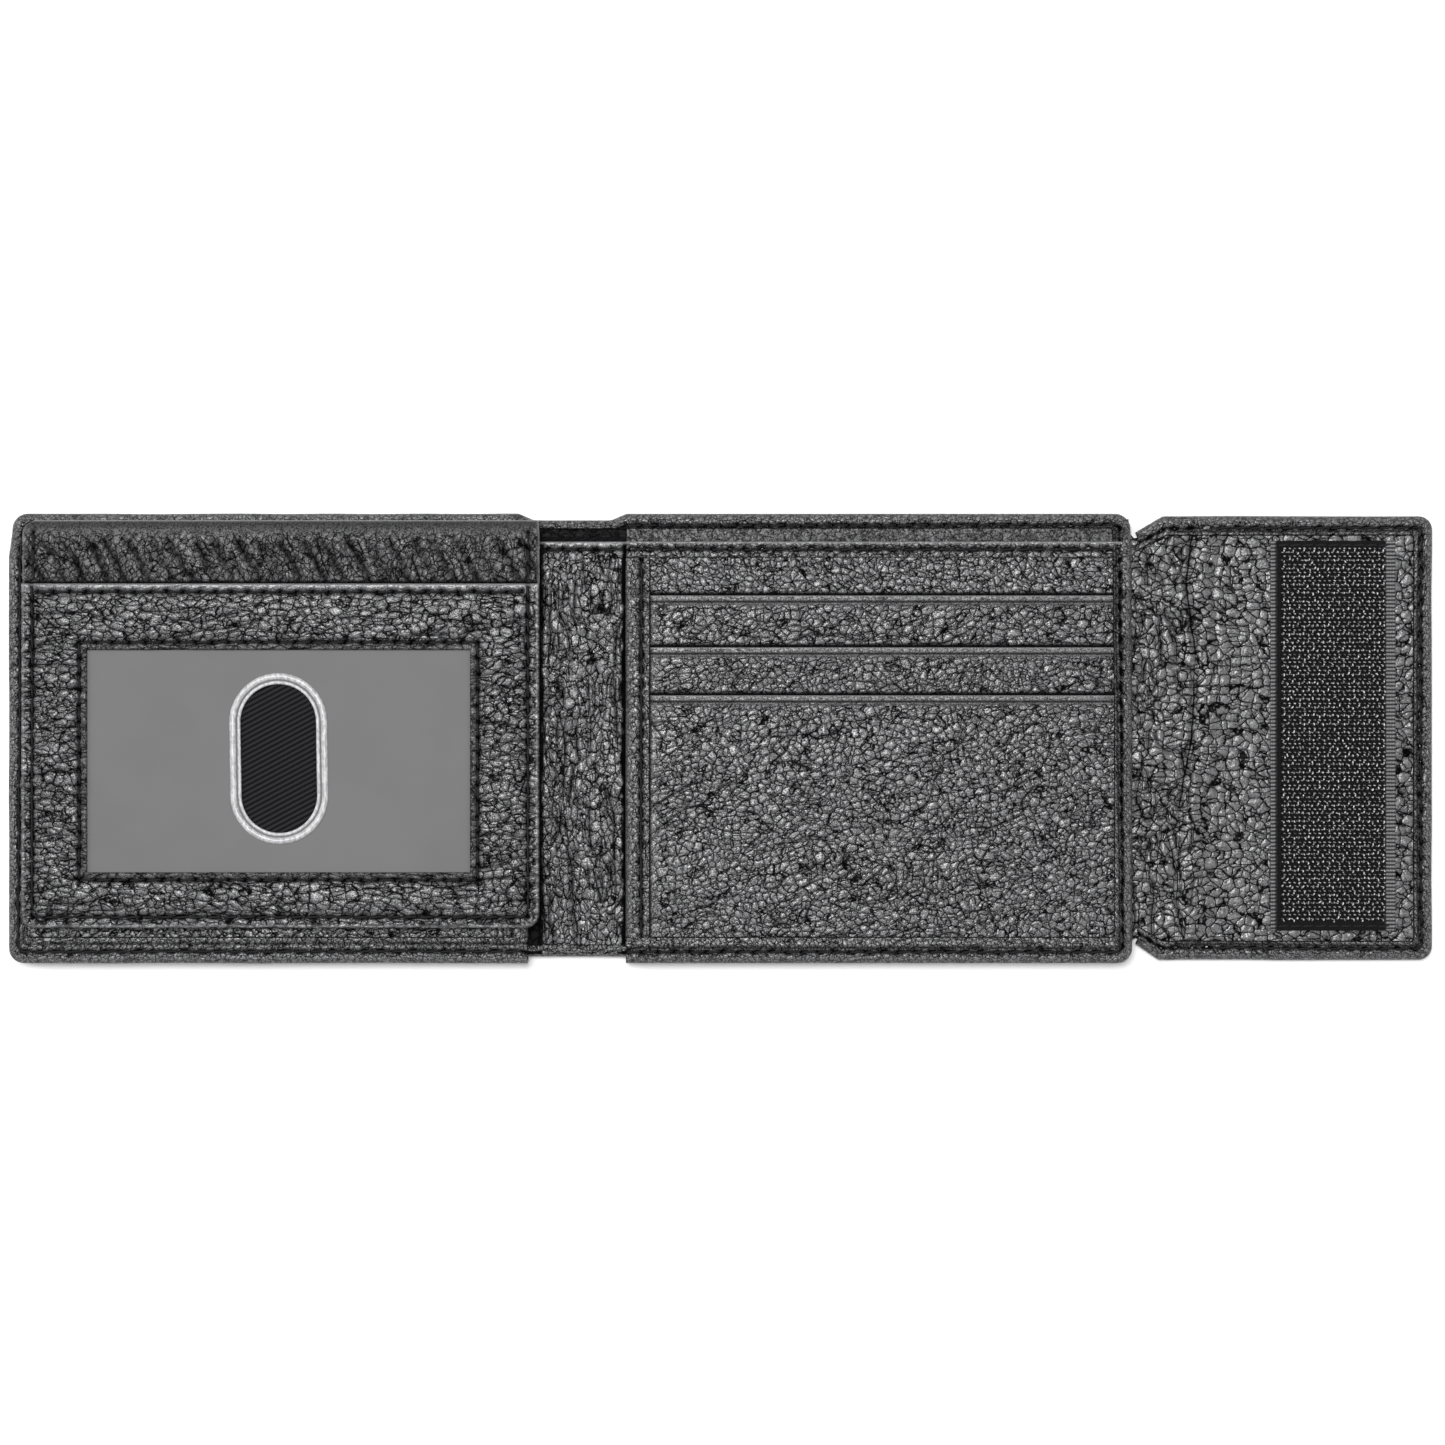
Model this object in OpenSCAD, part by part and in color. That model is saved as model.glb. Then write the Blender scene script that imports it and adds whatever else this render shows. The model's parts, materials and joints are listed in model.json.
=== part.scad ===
// Trifold leather wallet, lying open and face up on its outer cover.
// X runs along the open wallet, Y from its foot to the mouth of the bill compartment, Z up.
// Units are millimetres. The origin is the middle of the footprint, on the surface it lies on.

/* [Open size] */
// Length of the wallet lying open
open_length = 282; // [276:1:290]
// Height of the wallet, from its foot to the mouth of the bill compartment
height = 89; // [86:1:92]

/* [Panels] */
// Width of the left panel, which carries the ID flap
left_panel_w = 102.5; // [100:0.5:104]
// Width of the leather gusset between the left and the centre panel
gusset_w = 19.5; // [18:0.5:22]
// Width of the centre panel, with the card slots
centre_panel_w = 100.8; // [99:0.2:102]
// Width of the part of the gusset that stands up when the wallet is closed
spine_w = 11; // [10:0.5:12]
// Width of the part of the closing flap that stands up when the wallet is closed
flap_spine_w = 15.3; // [14.3:0.5:16.3]

/* [Leather and lining] */
// Thickness of the outer cover
cover_t = 1.0; // [0.9:0.05:1.0]
// Thickness of the twill lining
lining_t = 0.2; // [0.1:0.05:0.2]
// Thickness of the front wall of the bill compartment
wall_t = 0.8; // [0.6:0.1:0.8]
// Thickness of the leather of a card slot
slot_t = 0.6; // [0.5:0.05:0.6]
// Thickness of a turned edge
hem_t = 0.6; // [0.5:0.05:0.6]

/* [ID window] */
// Width of the window in the ID flap
window_w = 75.4; // [72:0.2:78]
// Height of the window in the ID flap
window_h = 43.8; // [42:0.2:46]
// Width of the thumb hole in the window film
thumb_w = 15; // [13:0.5:16]
// Height of the thumb hole in the window film
thumb_h = 29.4; // [26:0.2:31]

/* [Hook and loop closure] */
// Width of the hook tape and of the loop patch
tape_w = 24.8; // [20:0.2:25.2]
// Length of the hook tape and of the loop patch
tape_h = 77.4; // [70:0.2:78]

/* [Stitching] */
// Length of one stitch and the gap after it
stitch_pitch = 3.5; // [3:0.1:4]
// Thickness of the thread
thread_w = 0.5; // [0.4:0.05:0.6]

/* [Hidden] */

// Colours
leather = [0.16, 0.16, 0.17];
leather_edge = [0.11, 0.11, 0.12];
twill = [0.06, 0.06, 0.07];
thread = [0.03, 0.03, 0.03];
film = [0.5, 0.5, 0.5];
rim = [0.86, 0.86, 0.86];
tape = [0.10, 0.10, 0.10];

// Edges of the panels
x_left = -open_length / 2;
x_right = open_length / 2;
y_top = height / 2;
y_foot = -height / 2;
left_x1 = x_left + left_panel_w;
centre_x0 = left_x1 + gusset_w;
centre_x1 = centre_x0 + centre_panel_w;
edge_gap = 0.4;
fold_gap = 0.15;
corner_r = 3;

// Fold lines: the gusset folds at left_fold_x and centre_fold_x, the closing flap at two lines of its own
left_fold_x = left_x1 + 2.9;
centre_fold_x = left_fold_x + spine_w;
spine_x0 = left_fold_x + fold_gap;
spine_x1 = centre_fold_x - fold_gap;
flap_root_x = centre_x1 + edge_gap;
flap_fold_x = flap_root_x + flap_spine_w;

// The gusset is a little lower than the panels at both edges
gusset_top = y_top - 1.3;
gusset_foot = y_foot + 1.2;
ramp_w = 3;

// Levels of the layers, from the outer cover up
bill_gap = 0.8;
fabric_t = 0.2;
slip = 0.05;
z_lining = cover_t + lining_t;
z_wall = z_lining + bill_gap;
z_wall_top = z_wall + wall_t;
z_slot_1 = z_wall_top + slip;
z_slot_2 = z_slot_1 + fabric_t + slot_t + slip;
z_slot_3 = z_slot_2 + fabric_t + slot_t + 2 * slip;
z_lip = z_slot_3 + slot_t;
lip_t = 0.8;
z_panel_top = z_lip + lip_t;

// The bill compartment
wall_top_y = 39;
wall_strip_w = 3.2;
facing_w = 8;
facing_t = 0.6;
facing_inset = 0.2;
top_hem_w = 2.5;
z_facing = z_lining + facing_t;
z_top_hem = z_facing + hem_t;
left_ramp_x = left_x1 + 1 - ramp_w;

// Card slots: the height of each mouth, and how far its leather reaches down behind the next one
slot_1_y = 28.3;
slot_2_y = 18;
slot_3_y = 8.5;
slot_tuck = 14;
slot_foot = y_foot + 2.4;
slot_inset = 1.2;
centre_slot_x0 = centre_x0 + slot_inset;
centre_slot_x1 = centre_x1 - slot_inset;
left_slot_x0 = x_left + slot_inset;
left_slot_x1 = left_x1 - slot_inset;

// Turned edges
hem_wall = 1;
side_hem_w = 4;
bottom_hem_w = 5;
side_strip_w = 4;

// The ID flap
id_x0 = x_left + 3;
id_x1 = left_fold_x - 0.4;
id_foot = y_foot + 7.1;
id_top = 42.8;
id_mouth_y = 30.5;
id_gap = 0.1;
id_edge_w = 3;
hinge_t = 0.7;
hinge_foot = 33;
id_back_t = 0.7;
id_pocket_gap = 0.3;
film_t = 0.25;
frame_t = 0.8;
film_margin = 4;
z_id = z_panel_top + id_gap;
z_id_back_top = z_id + id_back_t;
z_id_lining_top = z_id_back_top + 0.15;
z_film = z_id_lining_top + id_pocket_gap;
z_frame = z_film + film_t;
z_frame_top = z_frame + frame_t;
window_x0 = x_left + 16;
window_x1 = window_x0 + window_w;
window_y0 = -26.4;
window_y1 = window_y0 + window_h;
window_x = (window_x0 + window_x1) / 2;
thumb_y = -4;
rim_w = 2.2;

// The closing flap
flap_y = y_top - 0.5;
flap_notch_y = 40.6;
flap_chamfer_x = flap_root_x + 5.4;
flap_facing_t = 0.8;
flap_hem_w = 3.5;
flap_hem_inset = 0.2;
z_flap_facing = cover_t + flap_facing_t;
z_flap_hem = z_flap_facing + hem_t;
hook_x1 = x_right - 7.3;
hook_x0 = hook_x1 - tape_w;
tape_y = 0.5;
hook_base_t = 0.5;
z_hook = z_flap_facing + hook_base_t;
hook_pile_t = 1;
selvage = 2;
hook_end = 1.5;
hook_pitch = 1.6;
hook_root_t = 0.3;
hook_w = 0.9;

// The loop patch lies where the hook tape lands when the wallet is closed
loop_x0 = centre_fold_x + left_fold_x - (flap_root_x - (hook_x0 - flap_fold_x));
loop_x1 = loop_x0 + tape_w;
loop_t = 0.8;

// Stitching
stitch_l = 2.6;
stitch_t = 0.12;
seam_in = 2.5;
cut = 1;

// Points of a corner of a given radius, which starts at the given angle
function corner(x, y, r, start) =
    r == 0 ? [[x, y]] : [for (step = [0 : 6]) let (a = start + step * 15) [x + r * cos(a), y + r * sin(a)]];

// A rectangle with corner radii r = [foot left, foot right, top right, top left]
module sheet(x0, y0, x1, y1, r = [0, 0, 0, 0]) {
    polygon(concat(
        corner(x0 + r[0], y0 + r[0], r[0], 180),
        corner(x1 - r[1], y0 + r[1], r[1], 270),
        corner(x1 - r[2], y1 - r[2], r[2], 0),
        corner(x0 + r[3], y1 - r[3], r[3], 90)
    ));
}

// A flat layer between two levels
module layer(z0, z1) {
    translate([0, 0, z0]) linear_extrude(z1 - z0) children();
}

// An upright oval
module oval(w, h) {
    square([w, h - w], center = true);
    for (side = [-1, 1]) translate([0, side * (h - w) / 2]) circle(d = w, $fn = 48);
}

// A profile drawn in X and Z, extruded along Y from y0 to y1
module along_y(y0, y1) {
    translate([0, y1, 0]) rotate([90, 0, 0]) linear_extrude(y1 - y0) children();
}

// A profile drawn in Y and Z, extruded along X from x0 to x1
module along_x(x0, x1) {
    translate([x0, 0, 0]) rotate([90, 0, 90]) linear_extrude(x1 - x0) children();
}

// Outline of a panel between its outer edge xo and its inner edge xi
module panel_outline(xo, xi) {
    r = corner_r;
    sheet(min(xo, xi), y_foot, max(xo, xi), y_top, xo < xi ? [r, 0, 0, r] : [0, r, r, 0]);
}

// A turned edge of a panel: it wraps the layers from the cover up and turns over them
module turned_edge(xo, xi, region) {
    in = xo < xi ? hem_wall : -hem_wall;
    color(leather_edge) {
        layer(cover_t, z_lip) intersection() {
            polygon(region);
            difference() {
                panel_outline(xo, xi);
                sheet(min(xo + in, xi + in), y_foot + hem_wall, max(xo + in, xi + in), y_top + cut);
            }
        }
        layer(z_lip, z_panel_top) intersection() {
            polygon(region);
            panel_outline(xo, xi);
        }
    }
}

module bottom_hem(xo, xi) {
    in = xo < xi ? side_hem_w : -side_hem_w;
    y = y_foot + bottom_hem_w;
    turned_edge(xo, xi, [[xo, y_foot], [xo + in, y], [xi, y], [xi, y_foot]]);
}

module side_hem(xo, xi) {
    in = xo < xi ? side_hem_w : -side_hem_w;
    turned_edge(xo, xi, [
        [xo, y_foot], [xo, wall_top_y], [xo + in, wall_top_y], [xo + in, y_foot + bottom_hem_w]
    ]);
}

// The strip that turns over the edge of the card slots beside the gusset
module side_strip(edge, inner) {
    wall = inner > edge ? hem_wall : -hem_wall;
    color(leather_edge) along_y(y_foot + bottom_hem_w, wall_top_y - wall_strip_w) polygon([
        [edge, z_wall_top], [edge, z_panel_top], [inner, z_panel_top], [inner, z_lip],
        [edge + wall, z_lip], [edge + wall, z_wall_top]
    ]);
}

// Separate stitches in a straight row from one point to another, lying on level z
module stitch_row(from, to, z) {
    run = to - from;
    length = norm(run);
    count = round(length / stitch_pitch);
    heading = atan2(run[1], run[0]);
    for (stitch = [0 : count - 1])
        translate([from[0], from[1], z]) rotate(heading)
            translate([(stitch + 0.5) * length / count - stitch_l / 2, -thread_w / 2, 0])
                cube([stitch_l, thread_w, stitch_t]);
}

// Rows of stitches through a list of points
module seam(points, z) {
    color(thread) for (leg = [0 : len(points) - 2]) stitch_row(points[leg], points[leg + 1], z);
}

// The four sides of a rectangle of stitches, which stop short of its corners
module seam_box(x0, y0, x1, y1, z) {
    back = thread_w;
    seam([[x0 + back, y0], [x1 - back, y0]], z);
    seam([[x1, y0 + back], [x1, y1 - back]], z);
    seam([[x0 + back, y1], [x1 - back, y1]], z);
    seam([[x0, y0 + back], [x0, y1 - back]], z);
}

// ---- Layers that the left and the centre panel both have ----

module slot_fabric(x0, x1, mouth, z) {
    color(twill) layer(z, z + fabric_t) sheet(x0, slot_foot, x1, mouth - 0.2);
}

module slot_leather(x0, x1, mouth, foot, z) {
    color(leather) layer(z, z + slot_t) sheet(x0, foot, x1, mouth);
}

module cover_facing(x0, x1, r) {
    color(leather) layer(z_lining, z_facing) sheet(x0, y_top - facing_w, x1, y_top - facing_inset, r);
}

module top_hem(x0, x1, r) {
    color(leather_edge) layer(z_facing, z_top_hem) sheet(x0, y_top - top_hem_w, x1, y_top, r);
}

module bill_lining(x0, x1) {
    color(twill) layer(cover_t, z_lining) sheet(x0, gusset_foot + 0.5, x1, wall_top_y + 1);
}

module front_wall(x0, x1) {
    color(leather) layer(z_wall, z_wall_top) sheet(x0, gusset_foot, x1, wall_top_y);
}

module wall_top_strip(x0, x1) {
    color(leather_edge) layer(z_wall_top, z_wall_top + hem_t)
        sheet(x0, wall_top_y - wall_strip_w, x1, wall_top_y);
}

// ---- Centre panel ----

module centre_cover() {
    x0 = centre_fold_x + fold_gap;
    color(leather) layer(0, cover_t) polygon(concat(
        [[x0, gusset_foot], [centre_x0, gusset_foot], [centre_x0, y_foot]],
        corner(centre_x1 - corner_r, y_foot + corner_r, corner_r, 270),
        corner(centre_x1 - corner_r, y_top - corner_r, corner_r, 0),
        [[centre_x0, y_top], [centre_x0 - ramp_w, gusset_top], [x0, gusset_top]]
    ));
}

module centre_lining() {
    bill_lining(centre_fold_x + fold_gap, centre_x1 - hem_wall);
}

module centre_cover_facing() {
    cover_facing(centre_x0, centre_x1 - hem_wall, [0, 0, 2, 0]);
}

module centre_top_hem() {
    top_hem(centre_x0, centre_x1 - hem_wall, [0, 0, 2, 0]);
}

module centre_front_wall() {
    front_wall(centre_fold_x + fold_gap, centre_x1 - hem_wall);
}

module centre_wall_top_strip() {
    wall_top_strip(centre_x0, centre_x1 - hem_wall);
}

module centre_slot_1_fabric() {
    slot_fabric(centre_slot_x0, centre_slot_x1, slot_1_y, z_slot_1);
}

module centre_slot_1_leather() {
    slot_leather(centre_slot_x0, centre_slot_x1, slot_1_y, slot_1_y - slot_tuck, z_slot_1 + fabric_t);
}

module centre_slot_2_fabric() {
    slot_fabric(centre_slot_x0, centre_slot_x1, slot_2_y, z_slot_2);
}

module centre_slot_2_leather() {
    slot_leather(centre_slot_x0, centre_slot_x1, slot_2_y, slot_2_y - slot_tuck, z_slot_2 + fabric_t);
}

module centre_slot_3_leather() {
    slot_leather(centre_slot_x0, centre_slot_x1, slot_3_y, slot_foot, z_slot_3);
}

module centre_side_strip() {
    side_strip(centre_x0, centre_x0 + side_strip_w);
}

module centre_bottom_hem() {
    bottom_hem(centre_x1, centre_x0);
}

module centre_right_hem() {
    side_hem(centre_x1, centre_x0);
}

module centre_cover_seam() {
    y = y_top - top_hem_w / 2;
    seam([[centre_x0 + 1, y], [centre_x1 - 4, y]], z_top_hem);
}

module centre_pocket_seam() {
    x = centre_x0 + 3;
    seam([[centre_x0 + 1, wall_top_y - 1.6], [centre_x1 - 4.5, wall_top_y - 1.6]], z_wall_top + hem_t);
    seam([[x, wall_top_y - 4], [x, y_foot + bottom_hem_w + 0.5]], z_panel_top);
    seam([[centre_x0 + 1, y_foot + seam_in], [centre_x1 - 4, y_foot + seam_in]], z_panel_top);
}

// ---- Spine ----

module spine_cover() {
    color(leather) layer(0, cover_t) sheet(spine_x0, gusset_foot, spine_x1, gusset_top);
}

module spine_lining() {
    bill_lining(spine_x0, spine_x1);
}

module spine_gusset() {
    front_wall(spine_x0, spine_x1);
}

module spine_gusset_seam() {
    seam([[spine_x0 + 0.3, wall_top_y - 1.6], [spine_x1 - 0.3, wall_top_y - 1.6]], z_wall_top);
}

// ---- Left panel ----

module left_cover() {
    x1 = left_fold_x - fold_gap;
    color(leather) difference() {
        layer(0, cover_t) polygon(concat(
            corner(x_left + corner_r, y_foot + corner_r, corner_r, 180),
            [[left_x1, y_foot], [left_x1, gusset_foot], [x1, gusset_foot], [x1, gusset_top]],
            [[left_ramp_x + ramp_w, gusset_top], [left_ramp_x, y_top]],
            corner(x_left + corner_r, y_top - corner_r, corner_r, 90)
        ));
        layer(-cut, loop_t) sheet(loop_x0, tape_y - tape_h / 2, loop_x1, tape_y + tape_h / 2);
    }
}

module left_lining() {
    bill_lining(x_left + hem_wall, left_fold_x - fold_gap);
}

module left_cover_facing() {
    cover_facing(x_left + hem_wall, left_ramp_x, [0, 0, 0, 2]);
}

module left_top_hem() {
    top_hem(x_left + hem_wall, left_ramp_x, [0, 0, 0, 2]);
}

module left_front_wall() {
    front_wall(x_left + hem_wall, left_fold_x - fold_gap);
}

module left_wall_top_strip() {
    wall_top_strip(x_left + hem_wall, left_x1);
}

module left_slot_1_fabric() {
    slot_fabric(left_slot_x0, left_slot_x1, slot_1_y, z_slot_1);
}

module left_slot_1_leather() {
    slot_leather(left_slot_x0, left_slot_x1, slot_1_y, slot_1_y - slot_tuck, z_slot_1 + fabric_t);
}

module left_slot_2_fabric() {
    slot_fabric(left_slot_x0, left_slot_x1, slot_2_y, z_slot_2);
}

module left_slot_2_leather() {
    slot_leather(left_slot_x0, left_slot_x1, slot_2_y, slot_2_y - slot_tuck, z_slot_2 + fabric_t);
}

module left_slot_3_leather() {
    slot_leather(left_slot_x0, left_slot_x1, slot_3_y, slot_foot, z_slot_3);
}

module left_side_strip() {
    side_strip(left_x1, left_x1 - side_strip_w);
}

module left_bottom_hem() {
    bottom_hem(x_left, left_x1);
}

module left_outer_hem() {
    side_hem(x_left, left_x1);
}

module left_cover_seam() {
    y = y_top - top_hem_w / 2;
    seam([[x_left + 4, y], [left_ramp_x - 0.5, y]], z_top_hem);
}

module left_pocket_seam() {
    seam([[x_left + 5, y_foot + seam_in], [left_x1 - 1, y_foot + seam_in]], z_panel_top);
    seam([[x_left + seam_in, y_foot + 4], [x_left + seam_in, wall_top_y - 0.5]], z_panel_top);
}

module loop_patch() {
    color(tape) layer(stitch_t, loop_t) sheet(loop_x0, tape_y - tape_h / 2, loop_x1, tape_y + tape_h / 2);
}

module loop_patch_seam() {
    tape_seam(loop_x0, loop_x1, 0);
}

module id_hinge_strip() {
    z = z_wall_top + hem_t;
    y = id_top - 0.1;
    color(leather) along_x(id_x0 + 2, left_x1 - side_strip_w + 2) polygon([
        [hinge_foot, z], [y, z], [y, z_panel_top], [y - hinge_t, z_panel_top],
        [y - hinge_t, z + hinge_t], [hinge_foot, z + hinge_t]
    ]);
}

// ---- ID flap ----

module id_flap_back() {
    color(leather) layer(z_id, z_id_back_top) sheet(id_x0, id_foot, id_x1, id_top, [2.5, 3, 0.5, 2.4]);
}

module id_flap_edge() {
    w = id_edge_w;
    color(leather_edge) layer(z_id_back_top, z_frame) difference() {
        sheet(id_x0, id_foot, id_x1, id_mouth_y, [2.5, 3, 0, 0]);
        sheet(id_x0 + w, id_foot + w, id_x1 - w, id_mouth_y + cut);
    }
}

module id_flap_lining() {
    w = id_edge_w;
    color(twill) layer(z_id_back_top, z_id_lining_top)
        sheet(id_x0 + w, id_foot + w, id_x1 - w, id_mouth_y - 1);
}

module id_window_film() {
    color(film) layer(z_film, z_frame) difference() {
        sheet(window_x0 - film_margin, window_y0 - film_margin, window_x1 + film_margin,
            window_y1 + film_margin);
        translate([window_x, thumb_y]) oval(thumb_w + 2 * rim_w, thumb_h + 2 * rim_w);
    }
}

module thumb_hole_rim() {
    color(rim) translate([window_x, thumb_y]) layer(z_film - 0.1, z_frame + 0.4) difference() {
        oval(thumb_w + 2 * rim_w, thumb_h + 2 * rim_w);
        oval(thumb_w, thumb_h);
    }
}

module id_window_frame() {
    color(leather) layer(z_frame, z_frame_top) difference() {
        sheet(id_x0, id_foot, id_x1, id_mouth_y, [2.5, 3, 0, 0]);
        sheet(window_x0, window_y0, window_x1, window_y1);
    }
}

module id_flap_seam() {
    in = 2.2;
    seam([[id_x0 + 3, id_foot + in], [id_x1 - 3, id_foot + in]], z_frame_top);
    for (x = [id_x0 + in, id_x1 - in]) {
        seam([[x, id_foot + 3], [x, id_mouth_y - 0.5]], z_frame_top);
        seam([[x, id_mouth_y + 0.5], [x, id_top - 2]], z_id_back_top);
    }
}

module id_window_seam() {
    out = 1.5;
    seam_box(window_x0 - out, window_y0 - out, window_x1 + out, window_y1 + out, z_frame_top);
}

module id_pocket_mouth_seam() {
    seam([[id_x0 + 3.5, id_mouth_y - 1.7], [id_x1 - 3.5, id_mouth_y - 1.7]], z_frame_top);
}

// ---- Closing flap ----

// The root of the flap, which widens from a notch to its full width
module flap_root(inset) {
    x1 = flap_fold_x - fold_gap;
    y = flap_y - inset;
    notch = flap_notch_y - inset;
    polygon([
        [flap_root_x, -notch], [flap_chamfer_x, -y], [x1, -y], [x1, y], [flap_chamfer_x, y],
        [flap_root_x, notch]
    ]);
}

module flap_root_hem(side) {
    x1 = flap_fold_x - fold_gap;
    out = flap_y - flap_hem_inset;
    in = flap_y - flap_hem_w;
    drop = flap_y - flap_notch_y;
    color(leather_edge) layer(z_flap_facing, z_flap_hem) polygon([
        [flap_root_x, side * (in - drop)], [flap_root_x, side * (out - drop)], [flap_chamfer_x, side * out],
        [x1, side * out], [x1, side * in], [flap_chamfer_x, side * in]
    ]);
}

module flap_spine_cover() {
    color(leather) layer(0, cover_t) flap_root(0);
}

module flap_spine_facing() {
    color(leather) layer(cover_t, z_flap_facing) flap_root(1);
}

module flap_spine_top_hem() {
    flap_root_hem(1);
}

module flap_spine_bottom_hem() {
    flap_root_hem(-1);
}

module flap_sheet(x0, inset, r) {
    sheet(x0, inset - flap_y, x_right - inset, flap_y - inset, [0, r, r, 0]);
}

module flap_cover() {
    color(leather) layer(0, cover_t) flap_sheet(flap_fold_x + fold_gap, 0, corner_r);
}

module flap_facing() {
    color(leather) layer(cover_t, z_flap_facing) flap_sheet(flap_fold_x + fold_gap, 1, corner_r - 1);
}

module flap_hem() {
    color(leather_edge) layer(z_flap_facing, z_flap_hem) difference() {
        flap_sheet(flap_fold_x + fold_gap, flap_hem_inset, corner_r);
        flap_sheet(flap_fold_x - cut, flap_hem_w, 0);
    }
}

module flap_seam() {
    x0 = flap_fold_x + fold_gap;
    x1 = x_right - seam_in;
    y = flap_y - seam_in;
    seam([[x0 + 0.5, -y], [x1 - 0.5, -y]], z_flap_hem);
    seam([[x1, 0.5 - y], [x1, y - 0.5]], z_flap_hem);
    seam([[x1 - 0.5, y], [x0 + 0.5, y]], z_flap_hem);
}

module hook_tape() {
    color(tape) layer(z_flap_facing, z_hook)
        sheet(hook_x0, tape_y - tape_h / 2, hook_x1, tape_y + tape_h / 2);
}

// Rows of hooks across the tape
module hook_field() {
    length = tape_h - 2 * hook_end;
    rows = floor(length / hook_pitch);
    step = length / rows;
    y0 = tape_y - length / 2;
    z = z_hook + hook_root_t;
    side = (step - hook_w) / 2;
    color(tape) along_x(hook_x0 + selvage, hook_x1 - selvage) polygon(concat(
        [[y0 + length, z_hook], [y0, z_hook]],
        [for (row = [0 : rows - 1]) each [
            [y0 + row * step, z], [y0 + row * step + side, z],
            [y0 + row * step + side, z_hook + hook_pile_t],
            [y0 + (row + 1) * step - side, z_hook + hook_pile_t],
            [y0 + (row + 1) * step - side, z]
        ]],
        [[y0 + length, z]]
    ));
}

module tape_seam(x0, x1, z) {
    in = 0.7;
    seam_box(x0 + in, tape_y - tape_h / 2 + in, x1 - in, tape_y + tape_h / 2 - in, z);
}

module hook_tape_seam() {
    tape_seam(hook_x0, hook_x1, z_hook);
}

centre_cover();
centre_lining();
centre_cover_facing();
centre_top_hem();
centre_front_wall();
centre_wall_top_strip();
centre_slot_1_fabric();
centre_slot_1_leather();
centre_slot_2_fabric();
centre_slot_2_leather();
centre_slot_3_leather();
centre_side_strip();
centre_bottom_hem();
centre_right_hem();
centre_cover_seam();
centre_pocket_seam();
spine_cover();
spine_lining();
spine_gusset();
spine_gusset_seam();
left_cover();
left_lining();
left_cover_facing();
left_top_hem();
left_front_wall();
left_wall_top_strip();
left_slot_1_fabric();
left_slot_1_leather();
left_slot_2_fabric();
left_slot_2_leather();
left_slot_3_leather();
left_side_strip();
left_bottom_hem();
left_outer_hem();
left_cover_seam();
left_pocket_seam();
loop_patch();
loop_patch_seam();
id_hinge_strip();
id_flap_back();
id_flap_edge();
id_flap_lining();
id_window_film();
thumb_hole_rim();
id_window_frame();
id_flap_seam();
id_window_seam();
id_pocket_mouth_seam();
flap_spine_cover();
flap_spine_facing();
flap_spine_top_hem();
flap_spine_bottom_hem();
flap_cover();
flap_facing();
flap_hem();
flap_seam();
hook_tape();
hook_field();
hook_tape_seam();
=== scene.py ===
"""The looks of a trifold leather wallet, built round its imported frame. Lengths are in millimetres."""

import json
import math

import bpy
import numpy as np
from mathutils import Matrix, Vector


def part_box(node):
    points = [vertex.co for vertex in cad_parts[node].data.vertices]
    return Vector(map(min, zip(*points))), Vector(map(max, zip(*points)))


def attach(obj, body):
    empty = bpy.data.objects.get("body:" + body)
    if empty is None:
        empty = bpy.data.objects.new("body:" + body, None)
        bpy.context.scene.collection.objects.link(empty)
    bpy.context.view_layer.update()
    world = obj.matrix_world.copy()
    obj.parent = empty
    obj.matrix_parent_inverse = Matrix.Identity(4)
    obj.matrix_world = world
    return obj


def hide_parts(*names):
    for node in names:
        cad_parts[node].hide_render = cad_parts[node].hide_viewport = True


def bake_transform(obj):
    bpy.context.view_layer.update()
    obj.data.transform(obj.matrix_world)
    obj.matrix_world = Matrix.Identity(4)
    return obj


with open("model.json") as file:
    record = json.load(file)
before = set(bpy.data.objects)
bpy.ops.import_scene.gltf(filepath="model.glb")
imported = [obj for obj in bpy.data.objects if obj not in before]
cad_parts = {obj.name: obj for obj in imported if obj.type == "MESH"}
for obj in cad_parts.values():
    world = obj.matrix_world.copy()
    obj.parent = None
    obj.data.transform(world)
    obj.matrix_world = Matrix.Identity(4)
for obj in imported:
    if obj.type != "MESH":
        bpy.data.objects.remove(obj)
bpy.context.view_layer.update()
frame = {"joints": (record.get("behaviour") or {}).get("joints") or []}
MM = 0.001
AXIS = {j["name"]: [v / MM for v in j["pos_m"]] for j in frame["joints"]}


def box(node):
    """Lowest and highest corner of a CAD node, in millimetres."""
    lo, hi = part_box(node)
    return [v / MM for v in lo], [v / MM for v in hi]


# ---- Places read from the frame ----
X_LEFT, Y_FOOT = box("left_cover")[0][:2]
Y_TOP = box("left_cover")[1][1]
X_RIGHT = box("flap_cover")[1][0]
FLAP_Y = box("flap_cover")[1][1]
LEFT_X1 = box("left_bottom_hem")[1][0]
CENTRE_X0 = box("centre_bottom_hem")[0][0]
CENTRE_X1 = box("centre_bottom_hem")[1][0]
FOLD_LEFT = AXIS["left_fold"][0]
FOLD_CENTRE = AXIS["spine_fold"][0]
FOLD_ROOT = AXIS["flap_spine_fold"][0]
FOLD_FLAP = AXIS["flap_fold"][0]
FOLD_Z = AXIS["spine_fold"][2]
MID_SPINE = (FOLD_LEFT + FOLD_CENTRE) / 2
MID_ROOT = (FOLD_ROOT + FOLD_FLAP) / 2
GUSSET_FOOT = box("spine_cover")[0][1]
GUSSET_TOP = box("spine_cover")[1][1]
WALL_TOP = box("centre_front_wall")[1][1]
COVER_T = box("centre_cover")[1][2]
WALL_Z0, WALL_Z1 = box("centre_front_wall")[0][2], box("centre_front_wall")[1][2]
PANEL_Z = box("centre_bottom_hem")[1][2]
FLAP_Z = box("flap_facing")[1][2]
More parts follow.
